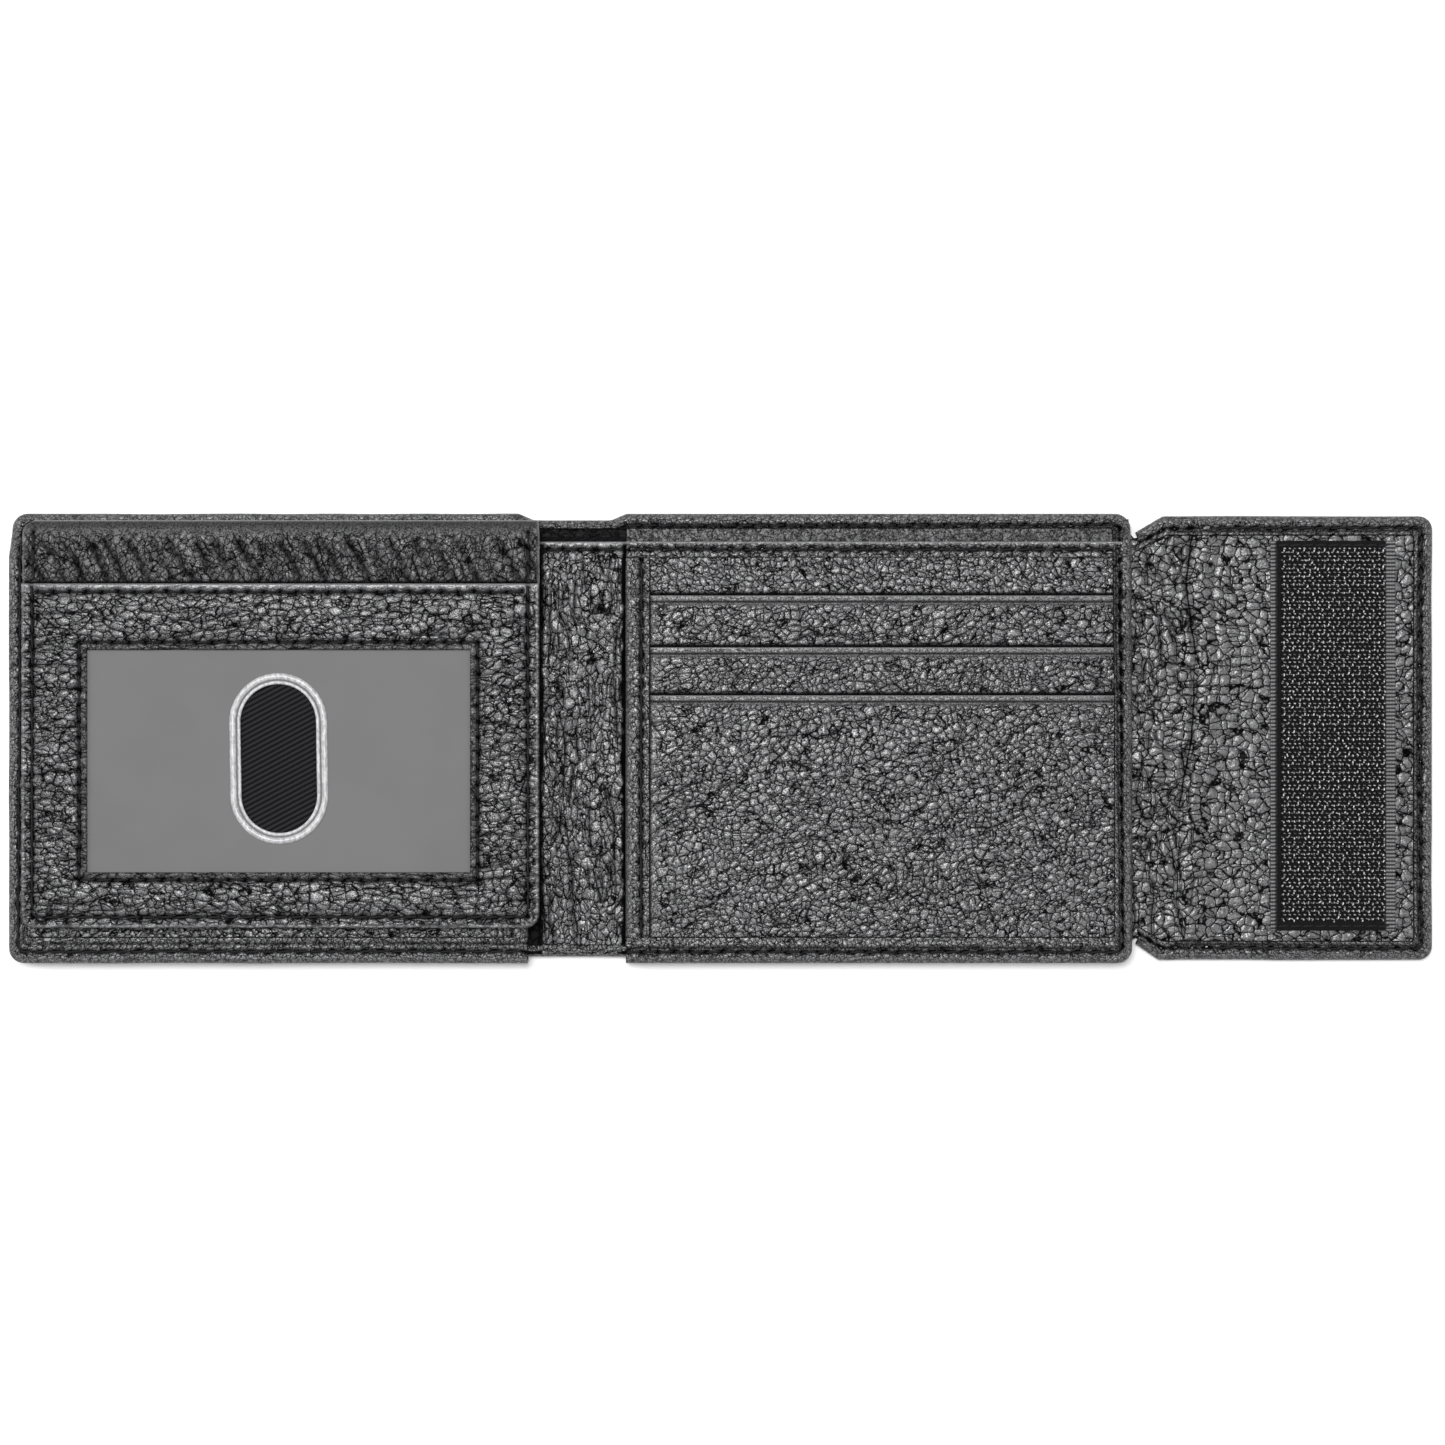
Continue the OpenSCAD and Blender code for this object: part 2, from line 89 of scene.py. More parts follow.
FLAP_HEM_Z = box("flap_hem")[1][2]
TOP_HEM_Z = box("centre_top_hem")[1][2]
NOTCH_Y = box("flap_spine_cover")[1][1] - 3.3

# ---- Measures that several pieces share ----
CORNER = 3.0  # radius of a panel's outer corners
PITCH = 3.2  # from one stitch to the next
FAR = 9.0  # a distance at which a fold no longer shows
FINE = 0.34  # grid step of leather that is seen
SPINE_RAMP = 3.0  # length of the slope from a panel's edge to the lower spine
TUCK = 0.9  # how far the cover stays inside its turned edge
HEM_TOP = PANEL_Z - 0.15  # height of the turned edges at the foot
HEM_W = 5.0  # their width
TOP_LIP_Y = Y_TOP - 2.6  # inner edge of the turned edge along the top
WALL_SEAM_Y = WALL_TOP - 1.6
GUSSET_SEAM_Z = WALL_Z1 + 0.08


# ---- Noise and grain ----
LATTICE = 64
lattices = {}


def lattice(seed):
    """Random numbers on a square lattice, the same for the same seed."""
    if seed not in lattices:
        lattices[seed] = np.random.default_rng(seed).random((3, LATTICE, LATTICE))[0]
    return lattices[seed]


def smooth(t):
    """A soft step, 0 below 0 and 1 above 1."""
    t = np.clip(t, 0.0, 1.0)
    return t * t * (3 - 2 * t)


def noise(x, y, seed=1):
    """Smooth noise from 0 to 1, one bump per unit."""
    g = lattice(seed)
    xi, yi = np.floor(x).astype(int), np.floor(y).astype(int)
    fx, fy = smooth(x - xi), smooth(y - yi)
    a, b = g[xi % LATTICE, yi % LATTICE], g[(xi + 1) % LATTICE, yi % LATTICE]
    c, d = g[xi % LATTICE, (yi + 1) % LATTICE], g[(xi + 1) % LATTICE, (yi + 1) % LATTICE]
    return (a * (1 - fx) + b * fx) * (1 - fy) + (c * (1 - fx) + d * fx) * fy


def fractal(x, y, seed=1, octaves=3):
    """Noise from 0 to 1 with finer and weaker noise added."""
    total, weight, norm = 0.0, 1.0, 0.0
    for k in range(octaves):
        total = total + weight * noise(x * 2**k + 7.3 * k, y * 2**k - 3.1 * k, seed + k)
        norm += weight
        weight *= 0.5
    return total / norm


def grain_at(x, y, size=(1.9, 1.9), turn=0.0, seed=11):
    """Place in the leather's grain, one unit to a pebble, drifting in size and direction like real hide."""
    c, s = math.cos(turn), math.sin(turn)
    u, v = (x * c + y * s), (-x * s + y * c)
    u2 = u + 3.4 * (fractal(u / 13, v / 13, seed + 20) - 0.5)
    v2 = v + 3.4 * (fractal(u / 13 + 9, v / 13 + 5, seed + 30) - 0.5)
    return np.stack([u2 / size[0] + 3.7 * seed, v2 / size[1] - 1.9 * seed, 0 * u2], -1)


def fold_lines(x, y, mask, size, turn=0.0, seed=1):
    """Signed distances across two families of wandering fold lines, growing where there are none."""
    c, s = math.cos(turn), math.sin(turn)
    u, v = (x * c + y * s) / size[0], (-x * s + y * c) / size[1]
    tiny = 0.02
    out = []
    for k in (0, 7):
        f, fu, fv = (fractal(u + 5.1 * k + du, v - 2.3 * k + dv, seed + k, 2)
                     for du, dv in ((0, 0), (tiny, 0), (0, tiny)))
        slope = np.hypot((fu - f) / tiny / size[0], (fv - f) / tiny / size[1])
        there = smooth((noise(u / 3 + k, v * 1.3, seed + 40 + k) - 0.25) / 0.3)
        strong = smooth((slope * min(size) - 0.12) / 0.4)
        out.append((f - 0.5) / np.maximum(slope, 0.1 / min(size)) / np.maximum(mask * there * strong, 0.03))
    return out


def valley(distance, width):
    """1 on a line and 0 well beside it."""
    return np.exp(-((distance / width) ** 2))


def level(z):
    """The same value everywhere on a sheet."""
    return lambda x, y: np.full(np.shape(x), float(z))


# ---- Meshes ----
def make(name, verts, quads, material, grain=None, polys=(), **values):
    """A mesh from points in millimetres, with the attributes that its material reads.

    rest is the place before any fold moves it, grain the place in the leather's grain, folds the distances
    across three families of folds. soft calms the grain. The wear-and-highlight value makes it pale, for
    real edge wear and mostly a painted highlight along rolled edges. dark makes it dark: mostly painted shade
    in needle holes, grooves, creases, gaps and under edges, elsewhere a darker tone."""
    mesh = bpy.data.meshes.new(name)
    verts = np.asarray(verts, float)
    faces = [tuple(q) for q in np.asarray(quads).tolist()] + [tuple(p) for p in polys]
    mesh.from_pydata((verts * MM).tolist(), [], faces)
    mesh.polygons.foreach_set("use_smooth", np.ones(len(mesh.polygons), bool))
    if grain is None:
        grain = verts / 1.9
    folds = values.get("folds", np.full(verts.shape, FAR))
    for key, value in (("rest", verts), ("grain", grain), ("folds", folds)):
        held = mesh.attributes.new(key, "FLOAT_VECTOR", "POINT")
        held.data.foreach_set("vector", np.asarray(value, np.float32).ravel())
    for key in ("soft", "wear", "dark"):
        data = np.asarray(values.get(key, np.zeros(len(verts))), np.float32)
        mesh.attributes.new(key, "FLOAT", "POINT").data.foreach_set("value", data)
    mesh.update()
    obj = bpy.data.objects.new(name, mesh)
    obj.data.materials.append(material)
    bpy.context.scene.collection.objects.link(obj)
    return obj


def settle(obj, nodes, hold):
    """Hides the CAD nodes that the piece stands for, then hands the piece to hold, or attaches it to the body
    that hold names.
    """
    if nodes:
        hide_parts(*nodes)
    if callable(hold):
        hold(obj)
    else:
        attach(obj, hold)


def lines(a, b, step, fine=(), rim=0.45):
    """Grid lines from a to b, closer together at both ends and round the places in fine."""
    pts = list(np.linspace(a, b, max(2, int(round((b - a) / step)) + 1)))
    for k in (0.06, 0.18, 0.38, 0.7, 1.0):
        pts += [a + rim * k, b - rim * k]
    for place, half in fine:
        if a < place < b:
            pts += list(np.linspace(max(a, place - half), min(b, place + half), 7))
    out = []
    for p in sorted(pts):
        if not out or p - out[-1] > 0.05:
            out.append(p)
    out[-1] = b
    return np.array(out)


def arc_lines(a, b, step, r, fine=(), rim=0.45):
    """Grid lines that also follow round corners of radius r at both ends."""
    extra = [r * (1 - math.cos(math.radians(t))) for t in range(8, 90, 9)]
    base = list(lines(a, b, step, fine, rim))
    out = []
    for p in sorted(base + [a + e for e in extra] + [b - e for e in extra]):
        if not out or p - out[-1] > 0.03:
            out.append(p)
    out[-1] = b
    return np.array(out)


def needle_holes(t, step):
    """Distance along a seam to its nearest needle hole."""
    return np.abs((t / step + 0.5) % 1.0 - 0.5) * step


def stitched(x, y, seams, depth=0.22):
    """Depth of the groove and of the needle holes along straight seams, and the painted shade in them."""
    dent, dark = np.zeros(np.shape(x)), np.zeros(np.shape(x))
    for (x0, y0), (x1, y1) in seams:
        length = math.hypot(x1 - x0, y1 - y0)
        count = max(1, round(length / PITCH))
        ux, uy = (x1 - x0) / length, (y1 - y0) / length
        t = (x - x0) * ux + (y - y0) * uy
        n = -(x - x0) * uy + (y - y0) * ux + 0.35 * (noise(t / 1.1, 0 * t + x0, 7) - 0.5)
        hole = needle_holes(t, length / count)
        inside = smooth((t + 0.8) / 0.8) * smooth((length + 0.8 - t) / 0.8)
        line = valley(n, 0.42)
        pit = np.exp(-((n / 0.55) ** 2) - (hole / 0.7) ** 2)
        dent = np.maximum(dent, inside * depth * (line + 1.8 * pit))
        dark = np.maximum(dark, inside * np.minimum(1, 0.75 * line + 1.0 * pit))
    return dent, dark


def slab(name, xs, ys, top, bottom, material, edge, outline=None, hole=None, roll=0.38, grain=None,
         under=False, flat=None, wear=None, dark=None, seams=(), folds=None, long_crease=None,
         lining_side=0.0):
    """A sheet between two surfaces with a rolled edge. edge gives a point's distance inside it.

    Each argument that describes a surface is a function of x and y. Seams and wrinkles go into the top, or
    into the bottom when under is set. lining_side darkens the top."""
    gx, gy = np.meshgrid(xs, ys, indexing="ij")
    if outline:
        gx, gy = outline(gx, gy)
    d = edge(gx, gy)
    drop = roll - np.sqrt(np.clip(roll**2 - np.clip(roll - d, 0, roll) ** 2, 0, None))
    soft = flat(gx, gy) if flat else np.zeros(gx.shape)
    dent, shade = stitched(gx, gy, seams)
    shade = np.maximum(shade, dark(gx, gy)) if dark else shade
    across = np.full((*gx.shape, 3), FAR)
    if folds:
        mask, deep, shape = folds
        across[..., 0], across[..., 1] = fold_lines(gx, gy, mask(gx, gy), **shape)
        dent = dent + deep * np.maximum(valley(across[..., 0], 0.6), valley(across[..., 1], 0.6))
    if long_crease:
        across[..., 2] = long_crease(gx, gy)
    place = grain_at(gx, gy, **(grain or {}))
    zt = top(gx, gy) - drop - (0 if under else dent)
    zb = bottom(gx, gy) + drop + (dent if under else 0)
    zb = np.minimum(zb, zt - 0.02)
    nx, ny = gx.shape
    count = nx * ny
    verts = np.concatenate([np.stack([gx, gy, z], -1).reshape(-1, 3) for z in (zt, zb)])
    keep = np.ones((nx - 1, ny - 1), bool)
    if hole:
        cx = (gx[:-1, :-1] + gx[1:, 1:]) / 2
        cy = (gy[:-1, :-1] + gy[1:, 1:]) / 2
        keep = ~hole(cx, cy)
    idx = np.arange(count).reshape(nx, ny)
    a, b, c, e = idx[:-1, :-1][keep], idx[1:, :-1][keep], idx[1:, 1:][keep], idx[:-1, 1:][keep]
    quads = [np.stack([a, b, c, e], -1), np.stack([a, e, c, b], -1) + count]
    pad = np.pad(keep, 1)
    i, j = np.nonzero(keep)
    for di, dj, p, q in ((-1, 0, (0, 1), (0, 0)), (1, 0, (1, 0), (1, 1)),
                         (0, -1, (0, 0), (1, 0)), (0, 1, (1, 1), (0, 1))):
        out = ~pad[i + 1 + di, j + 1 + dj]
        v0 = idx[i[out] + p[0], j[out] + p[1]]
        v1 = idx[i[out] + q[0], j[out] + q[1]]
        quads.append(np.stack([v0, v0 + count, v1 + count, v1], -1))
    quads = np.concatenate(quads)
    used = np.zeros(2 * count, bool)
    used[quads.ravel()] = True
    new = np.cumsum(used) - 1
    worn_and_highlit = wear(gx, gy) if wear else np.zeros(gx.shape)
    per = {key: np.tile(value.ravel(), 2)[used] for key, value in (("soft", soft), ("wear", worn_and_highlit))}
    per["dark"] = np.concatenate([np.maximum(shade, lining_side).ravel(), shade.ravel()])[used]
    per["folds"] = np.tile(across.reshape(-1, 3), (2, 1))[used]
    place = np.tile(place.reshape(-1, 3), (2, 1))[used]
    return make(name, verts[used], new[quads], material, place, **per)


def rounded(x0, y0, x1, y1, r):
    """Outline mapping and edge distance of a rectangle.

    r has its corner radii: foot left, foot right, top right, top left."""
    reach = 2.2 * max(max(r), 0.5)

    def cut(x, r_left, r_right):
        left = np.clip((x0 + r_left - x) / max(r_left, 1e-6), 0, 1) if r_left else 0 * x
        right = np.clip((x - x1 + r_right) / max(r_right, 1e-6), 0, 1) if r_right else 0 * x
        return r_left * (1 - np.sqrt(1 - left**2)) + r_right * (1 - np.sqrt(1 - right**2))

    def outline(x, y):
        near_top = smooth((y - (y1 - reach)) / reach)
        near_foot = smooth((y0 + reach - y) / reach)
        return x, y - cut(x, r[3], r[2]) * near_top + cut(x, r[0], r[1]) * near_foot

    def edge(x, y):
        radius = np.where(y > (y0 + y1) / 2, np.where(x < (x0 + x1) / 2, r[3], r[2]),
                          np.where(x < (x0 + x1) / 2, r[0], r[1]))
        qx = np.maximum(x0 + radius - x, x - x1 + radius)
        qy = np.maximum(y0 + radius - y, y - y1 + radius)
        far = np.hypot(np.maximum(qx, 0), np.maximum(qy, 0))
        return np.clip(radius - far - np.minimum(np.maximum(qx, qy), 0), 0, None)

    return outline, edge


def profiled(inset, right):
    """Outline mapping and edge distance of a sheet this far inside the cover's foot and top.

    right is where it ends. That counts as an edge only at the end of the closing flap."""
    fx, fy = zip(*COVER_FOOT)
    tx, ty = zip(*COVER_TOP)
    fy, ty = [y + inset for y in fy], [y - inset for y in ty]
    y0, y1 = min(fy), max(ty)
    reach = 7.0

    def outline(x, y):
        high = np.interp(x, tx, ty)
        low = np.interp(x, fx, fy)
        near_top = smooth((y - (y1 - reach)) / reach)
        near_foot = smooth((y0 + reach - y) / reach)
        return x, y - (y1 - high) * near_top + (low - y0) * near_foot

    def edge(x, y):
        d = np.clip(np.minimum(np.interp(x, tx, ty) - y, y - np.interp(x, fx, fy)), 0, None)
        if right > X_RIGHT - 2:
            d = np.minimum(d, right - x)
        return np.clip(d, 0, None)

    return outline, edge, y0, y1


def fillet(points, radii, counts):
    """A path through points with round corners. counts has the samples of each run and of each corner."""
    pts = [np.array(p, float) for p in points]
    ends, arcs = [], []
    for k in range(1, len(pts) - 1):
        a, b = pts[k - 1] - pts[k], pts[k + 1] - pts[k]
        a, b = a / np.linalg.norm(a), b / np.linalg.norm(b)
        half = math.acos(max(-1, min(1, float(a @ b)))) / 2
        back = radii[k - 1] / math.tan(half) if radii[k - 1] else 0
        p, q = pts[k] + a * back, pts[k] + b * back
        arc = []
        for i in range(counts[2 * k - 1] + 1):
            t = i / counts[2 * k - 1]
            curve = (1 - t) ** 2 * p + 2 * t * (1 - t) * pts[k] + t**2 * q
            m = (a + b) / np.linalg.norm(a + b)
            if radii[k - 1]:
                centre = pts[k] + m * radii[k - 1] / math.sin(half)
                v = curve - centre
                curve = centre + v / np.linalg.norm(v) * radii[k - 1]
            arc.append(curve)
        ends.append((p, q))
        arcs.append(arc)
    path = []
    start = pts[0]
    for k in range(len(pts) - 1):
        stop = ends[k][0] if k < len(ends) else pts[-1]
        n = counts[2 * k]
        path += [start + (stop - start) * i / n for i in range(n)]
        if k < len(ends):
            path += arcs[k][:-1]
            start = ends[k][1]
    path.append(pts[-1])
    return np.array(path)


def paths(outer, inner, radius, inner_radius, step=0.4):
    """Outer and inner edge of a turned band, sampled alike, with these corner radii."""
    counts = []
    for k in range(len(outer) - 1):
        length = math.dist(outer[k], outer[k + 1])
        counts.append(max(2, int(length / step)))
        if k < len(outer) - 2:
            counts.append(max(4, int(radius[k] * 1.57 / 0.3)))
    return fillet(outer, radius, counts), fillet(inner, inner_radius, counts)


def along(path):
    """Length along a path at each of its points."""
    return np.concatenate([[0], np.cumsum(np.linalg.norm(np.diff(path, axis=0), axis=1))])


def band(name, outer, inner, top, low=0.0, under=3.0, lip_t=0.7, puff=0.12, seam=2.4, groove=None, seed=31,
         dent=0.26):
    """A turned edge: leather that comes from below, goes up round the edge and lies on top with a seam.

    outer and inner are its edges in plan. It starts this far under the cover and goes from low to top. seam
    and groove are distances from its outer edge. Returns the piece and the line of its seam."""
    lip_steps = 16
    n = len(outer)
    top, low, under = (np.broadcast_to(np.asarray(v, float), n) for v in (top, low, under))
    tangent = np.gradient(outer, axis=0)
    tangent /= np.linalg.norm(tangent, axis=1)[:, None]
    inward = np.stack([-tangent[:, 1], tangent[:, 0]], -1)
    side = np.sign(np.sum((inner - outer) * inward, axis=1))
    inward *= np.where(side == 0, 1, side)[:, None]
    width = np.linalg.norm(inner - outer, axis=1)
    tall = top - low
    r_low, r_top = np.minimum(0.9, 0.42 * tall), np.minimum(1.1, 0.42 * tall)
    ring, zs, lip_at = [], [], []

    def add(flat, z, f=None):
        ring.append(flat)
        zs.append(z)
        lip_at.append(f)

    for k in range(4):
        d = under + (r_low - under) * k / 4
        add(outer + inward * d[:, None], low + 0 * d)
    for k in range(5):
        a = math.pi / 2 * k / 4
        add(outer + inward * (r_low * (1 - math.sin(a)))[:, None], low + r_low * (1 - math.cos(a)))
    for k in range(1, 5):
        t = k / 5
        bulge = -0.1 * math.sin(math.pi * t)
        add(outer + inward * bulge, low + r_low + (tall - r_low - r_top) * t)
    for k in range(5):
        a = math.pi / 2 * k / 4
        add(outer + inward * (r_top * (1 - math.cos(a)))[:, None], top - r_top * (1 - math.sin(a)))
    start = outer + inward * r_top[:, None]
    for k in range(1, lip_steps + 1):
        f = k / lip_steps
        swell = puff * math.sin(math.pi * f * 1.15) ** 0.7 if f * 1.15 < 1 else 0
        add(start + (inner - start) * f, top + swell, f)
    toward = (inner - start) / np.maximum(np.linalg.norm(inner - start, axis=1), 1e-6)[:, None]
    for k in range(1, 4):
        a = math.pi / 2 * k / 3
        add(inner + toward * 0.3 * math.sin(a), top - lip_t * 0.5 * (1 - math.cos(a)))
    add(inner, top - lip_t)
    wall = np.minimum(0.8, 0.45 * width)
    add(outer + inward * wall[:, None], top - lip_t)
    add(outer + inward * wall[:, None], np.minimum(low + lip_t, top - lip_t - 0.05))
    add(outer + inward * under[:, None], np.minimum(low + 0.5, top - lip_t - 0.1))

    s = along(outer)
    seam_f = (seam - r_top) / np.maximum(width - r_top, 1e-6)
    line = start + (inner - start) * seam_f[:, None]
    t = along(line)
    count = max(1, round(t[-1] / PITCH))
    hole = np.abs((t / t[-1] * count + 0.5) % 1.0 - 0.5) * t[-1] / count
    ring = np.stack(ring, 1)
    zs = np.stack(zs, 1)
    run = np.concatenate([np.zeros((n, 1)), np.cumsum(np.linalg.norm(np.diff(ring, axis=1), axis=2)
                                                       + np.abs(np.diff(zs, axis=1)), axis=1)], 1)
    place = grain_at(np.broadcast_to(s[:, None], run.shape), run, (1.05, 1.05), 0.3, seed)
    soft = np.full(run.shape, 0.1)
    dark = np.zeros(run.shape)
    for k, f in enumerate(lip_at):
        if f is None:
            continue
        d = (f - seam_f) * (width - r_top)
        if dent:
            d = d + 0.35 * (noise(s / 1.1, 0 * s, seed) - 0.5)
            sunk, pit = valley(d, 0.45), valley(hole, 0.7)
            zs[:, k] -= dent * sunk * (1 + 1.8 * pit)
            # Painted shade in the seam's groove and needle holes.
            dark[:, k] = np.minimum(1, sunk * (0.78 + pit))
        if groove:
            near = valley(f * (width - r_top) + r_top - groove, 0.3)
            zs[:, k] -= 0.2 * near
            # Painted shade in the groove.
            dark[:, k] = np.maximum(dark[:, k], 0.8 * near)
    # Painted shade on the inner edge, where it rolls down under the lip.
    dark[:, -7:-3] = 0.9
    m = ring.shape[1]
    verts = np.concatenate([ring, zs[:, :, None]], 2).reshape(-1, 3)
    i = np.arange(n - 1)[:, None] * m
    k = np.arange(m)[None, :]
    quads = np.stack([i + k, i + m + k, i + m + (k + 1) % m, i + (k + 1) % m], -1).reshape(-1, 4)
    caps = [list(range(m)), list(range((n - 1) * m, n * m))[::-1]]
    wear = np.zeros((n, m))
    # Painted highlight on the upright side and the top's round.
    wear[:, 9:18] = 0.12  # the upright side, up to where it lies down on top
    if np.mean(side) <= 0:
        quads = quads[:, ::-1]
        caps = [c[::-1] for c in caps]
    obj = make(name, verts, quads, EDGE, place.reshape(-1, 3), caps, soft=soft.ravel(), wear=wear.ravel(),
               dark=dark.ravel())
    return obj, np.concatenate([line, (top + 0.6 * puff)[:, None]], 1)


def threads(name, runs, body, rad=0.18, pitch=PITCH, through=(), drawn=True):
    """Stitches along seam lines, each from one needle hole to the next, as one piece.

    The seams in through also show on the outside of the cover. drawn says that the CAD has them too."""
    verts, quads, polys = [], [], []
    sides, rings = 6, 7
    outside = [np.array(run) * [1, 1, 0] for run in through]
    for side, run in [(1, run) for run in runs] + [(-1, run) for run in outside]:
        run = np.array(run, float)
        if len(run) == 2:
            run = run[0] + (run[1] - run[0]) * np.linspace(0, 1, 60)[:, None]
        t = along(run[:, :2])
        count = max(1, round(t[-1] / pitch))
        step = t[-1] / count
        for i in range(count):
            u = np.linspace(0.07, 0.93, rings)
            at = (i + u) * step
            c = np.stack([np.interp(at, t, run[:, a]) for a in range(3)], -1)
            arch = 1 - (2 * u - 1) ** 4
            c[:, 2] += side * (-0.42 + 0.34 * arch)
            way = c[-1, :2] - c[0, :2]
            way /= np.linalg.norm(way)
            across = np.array([-way[1], way[0]])
            c[:, :2] += across * (0.2 * (u - 0.5))[:, None]
            base = len(verts)
            for r in range(rings):
                size = rad * (0.62 + 0.38 * arch[r])
                for q in range(sides):
                    a = 2 * math.pi * q / sides
                    wide = across * size * 1.15 * math.cos(a)
                    verts.append([c[r, 0] + wide[0], c[r, 1] + wide[1], c[r, 2] + size * math.sin(a)])
            for r in range(rings - 1):
                for q in range(sides):
                    k = base + r * sides
                    quads.append([k + q, k + (q + 1) % sides, k + sides + (q + 1) % sides, k + sides + q])
            polys.append([base + q for q in range(sides)][::-1])
            polys.append([base + (rings - 1) * sides + q for q in range(sides)])
    settle(make(name, verts, quads, THREAD, polys=polys), [name] if drawn else [], body)


# ---- Materials ----
class Nodes:
    """Short names for building a node tree."""

    def __init__(self, name):
        self.mat = bpy.data.materials.new(name)
        self.mat.use_nodes = True
        self.tree = self.mat.node_tree
        self.shader = self.tree.nodes["Principled BSDF"]

    def new(self, kind, inputs=(), **props):
        node = self.tree.nodes.new(kind)
        for key, value in props.items():
            setattr(node, key, value)
        for key, value in dict(inputs).items():
            if isinstance(value, bpy.types.NodeSocket):
                self.tree.links.new(value, node.inputs[key])
            else:
                node.inputs[key].default_value = value
        return node

    def attribute(self, name, socket="Fac"):
        return self.new("ShaderNodeAttribute", attribute_name=name).outputs[socket]

    def rest(self):
        """Where a point is when the wallet lies open, in millimetres."""
        return self.attribute("rest", "Vector")

    def split(self, vector):
        return self.new("ShaderNodeSeparateXYZ", {0: vector}).outputs

    def math(self, op, a, b=0.0, c=0.0, clamp=False):
        return self.new("ShaderNodeMath", {0: a, 1: b, 2: c}, operation=op, use_clamp=clamp).outputs[0]

    def vector(self, op, a, b=(0, 0, 0), scale=None):
        ins = {0: a, 1: b}
        if scale is not None:
            ins["Scale"] = scale
        return self.new("ShaderNodeVectorMath", ins, operation=op).outputs[0]

    def ramp(self, value, low, high, a=0.0, b=1.0):
        return self.new("ShaderNodeMapRange", {"Value": value, "From Min": low, "From Max": high, "To Min": a,
                                               "To Max": b}, interpolation_type="SMOOTHSTEP").outputs[0]

    def mix(self, factor, a, b):
        node = self.new("ShaderNodeMix", {"Factor": factor}, data_type="RGBA")
        for socket, value in ((6, a), (7, b)):
            if isinstance(value, bpy.types.NodeSocket):
                self.tree.links.new(value, node.inputs[socket])
            else:
                node.inputs[socket].default_value = (*value, 1)
        return node.outputs[2]

    def noise(self, vector, scale, detail=2.0, rough=0.5):
        return self.new("ShaderNodeTexNoise", {"Vector": vector, "Scale": scale, "Detail": detail,
                                               "Roughness": rough}).outputs["Fac"]

    def times(self, a, b, clamp=False):
        return self.math("MULTIPLY", a, b, clamp=clamp)

    def wave(self, value, length):
        """A sine wave of this length in millimetres."""
        return self.math("SINE", self.times(value, 2 * math.pi / length))

    def less(self, value):
        return self.math("SUBTRACT", 1.0, value)

    def bump(self, height, distance):
        values = {"Height": height, "Distance": distance * MM, "Strength": 1.0}
        return self.new("ShaderNodeBump", values).outputs[0]

    def link(self, value, socket):
        if isinstance(value, bpy.types.NodeSocket):
            self.tree.links.new(value, self.shader.inputs[socket])
        else:
            self.shader.inputs[socket].default_value = value


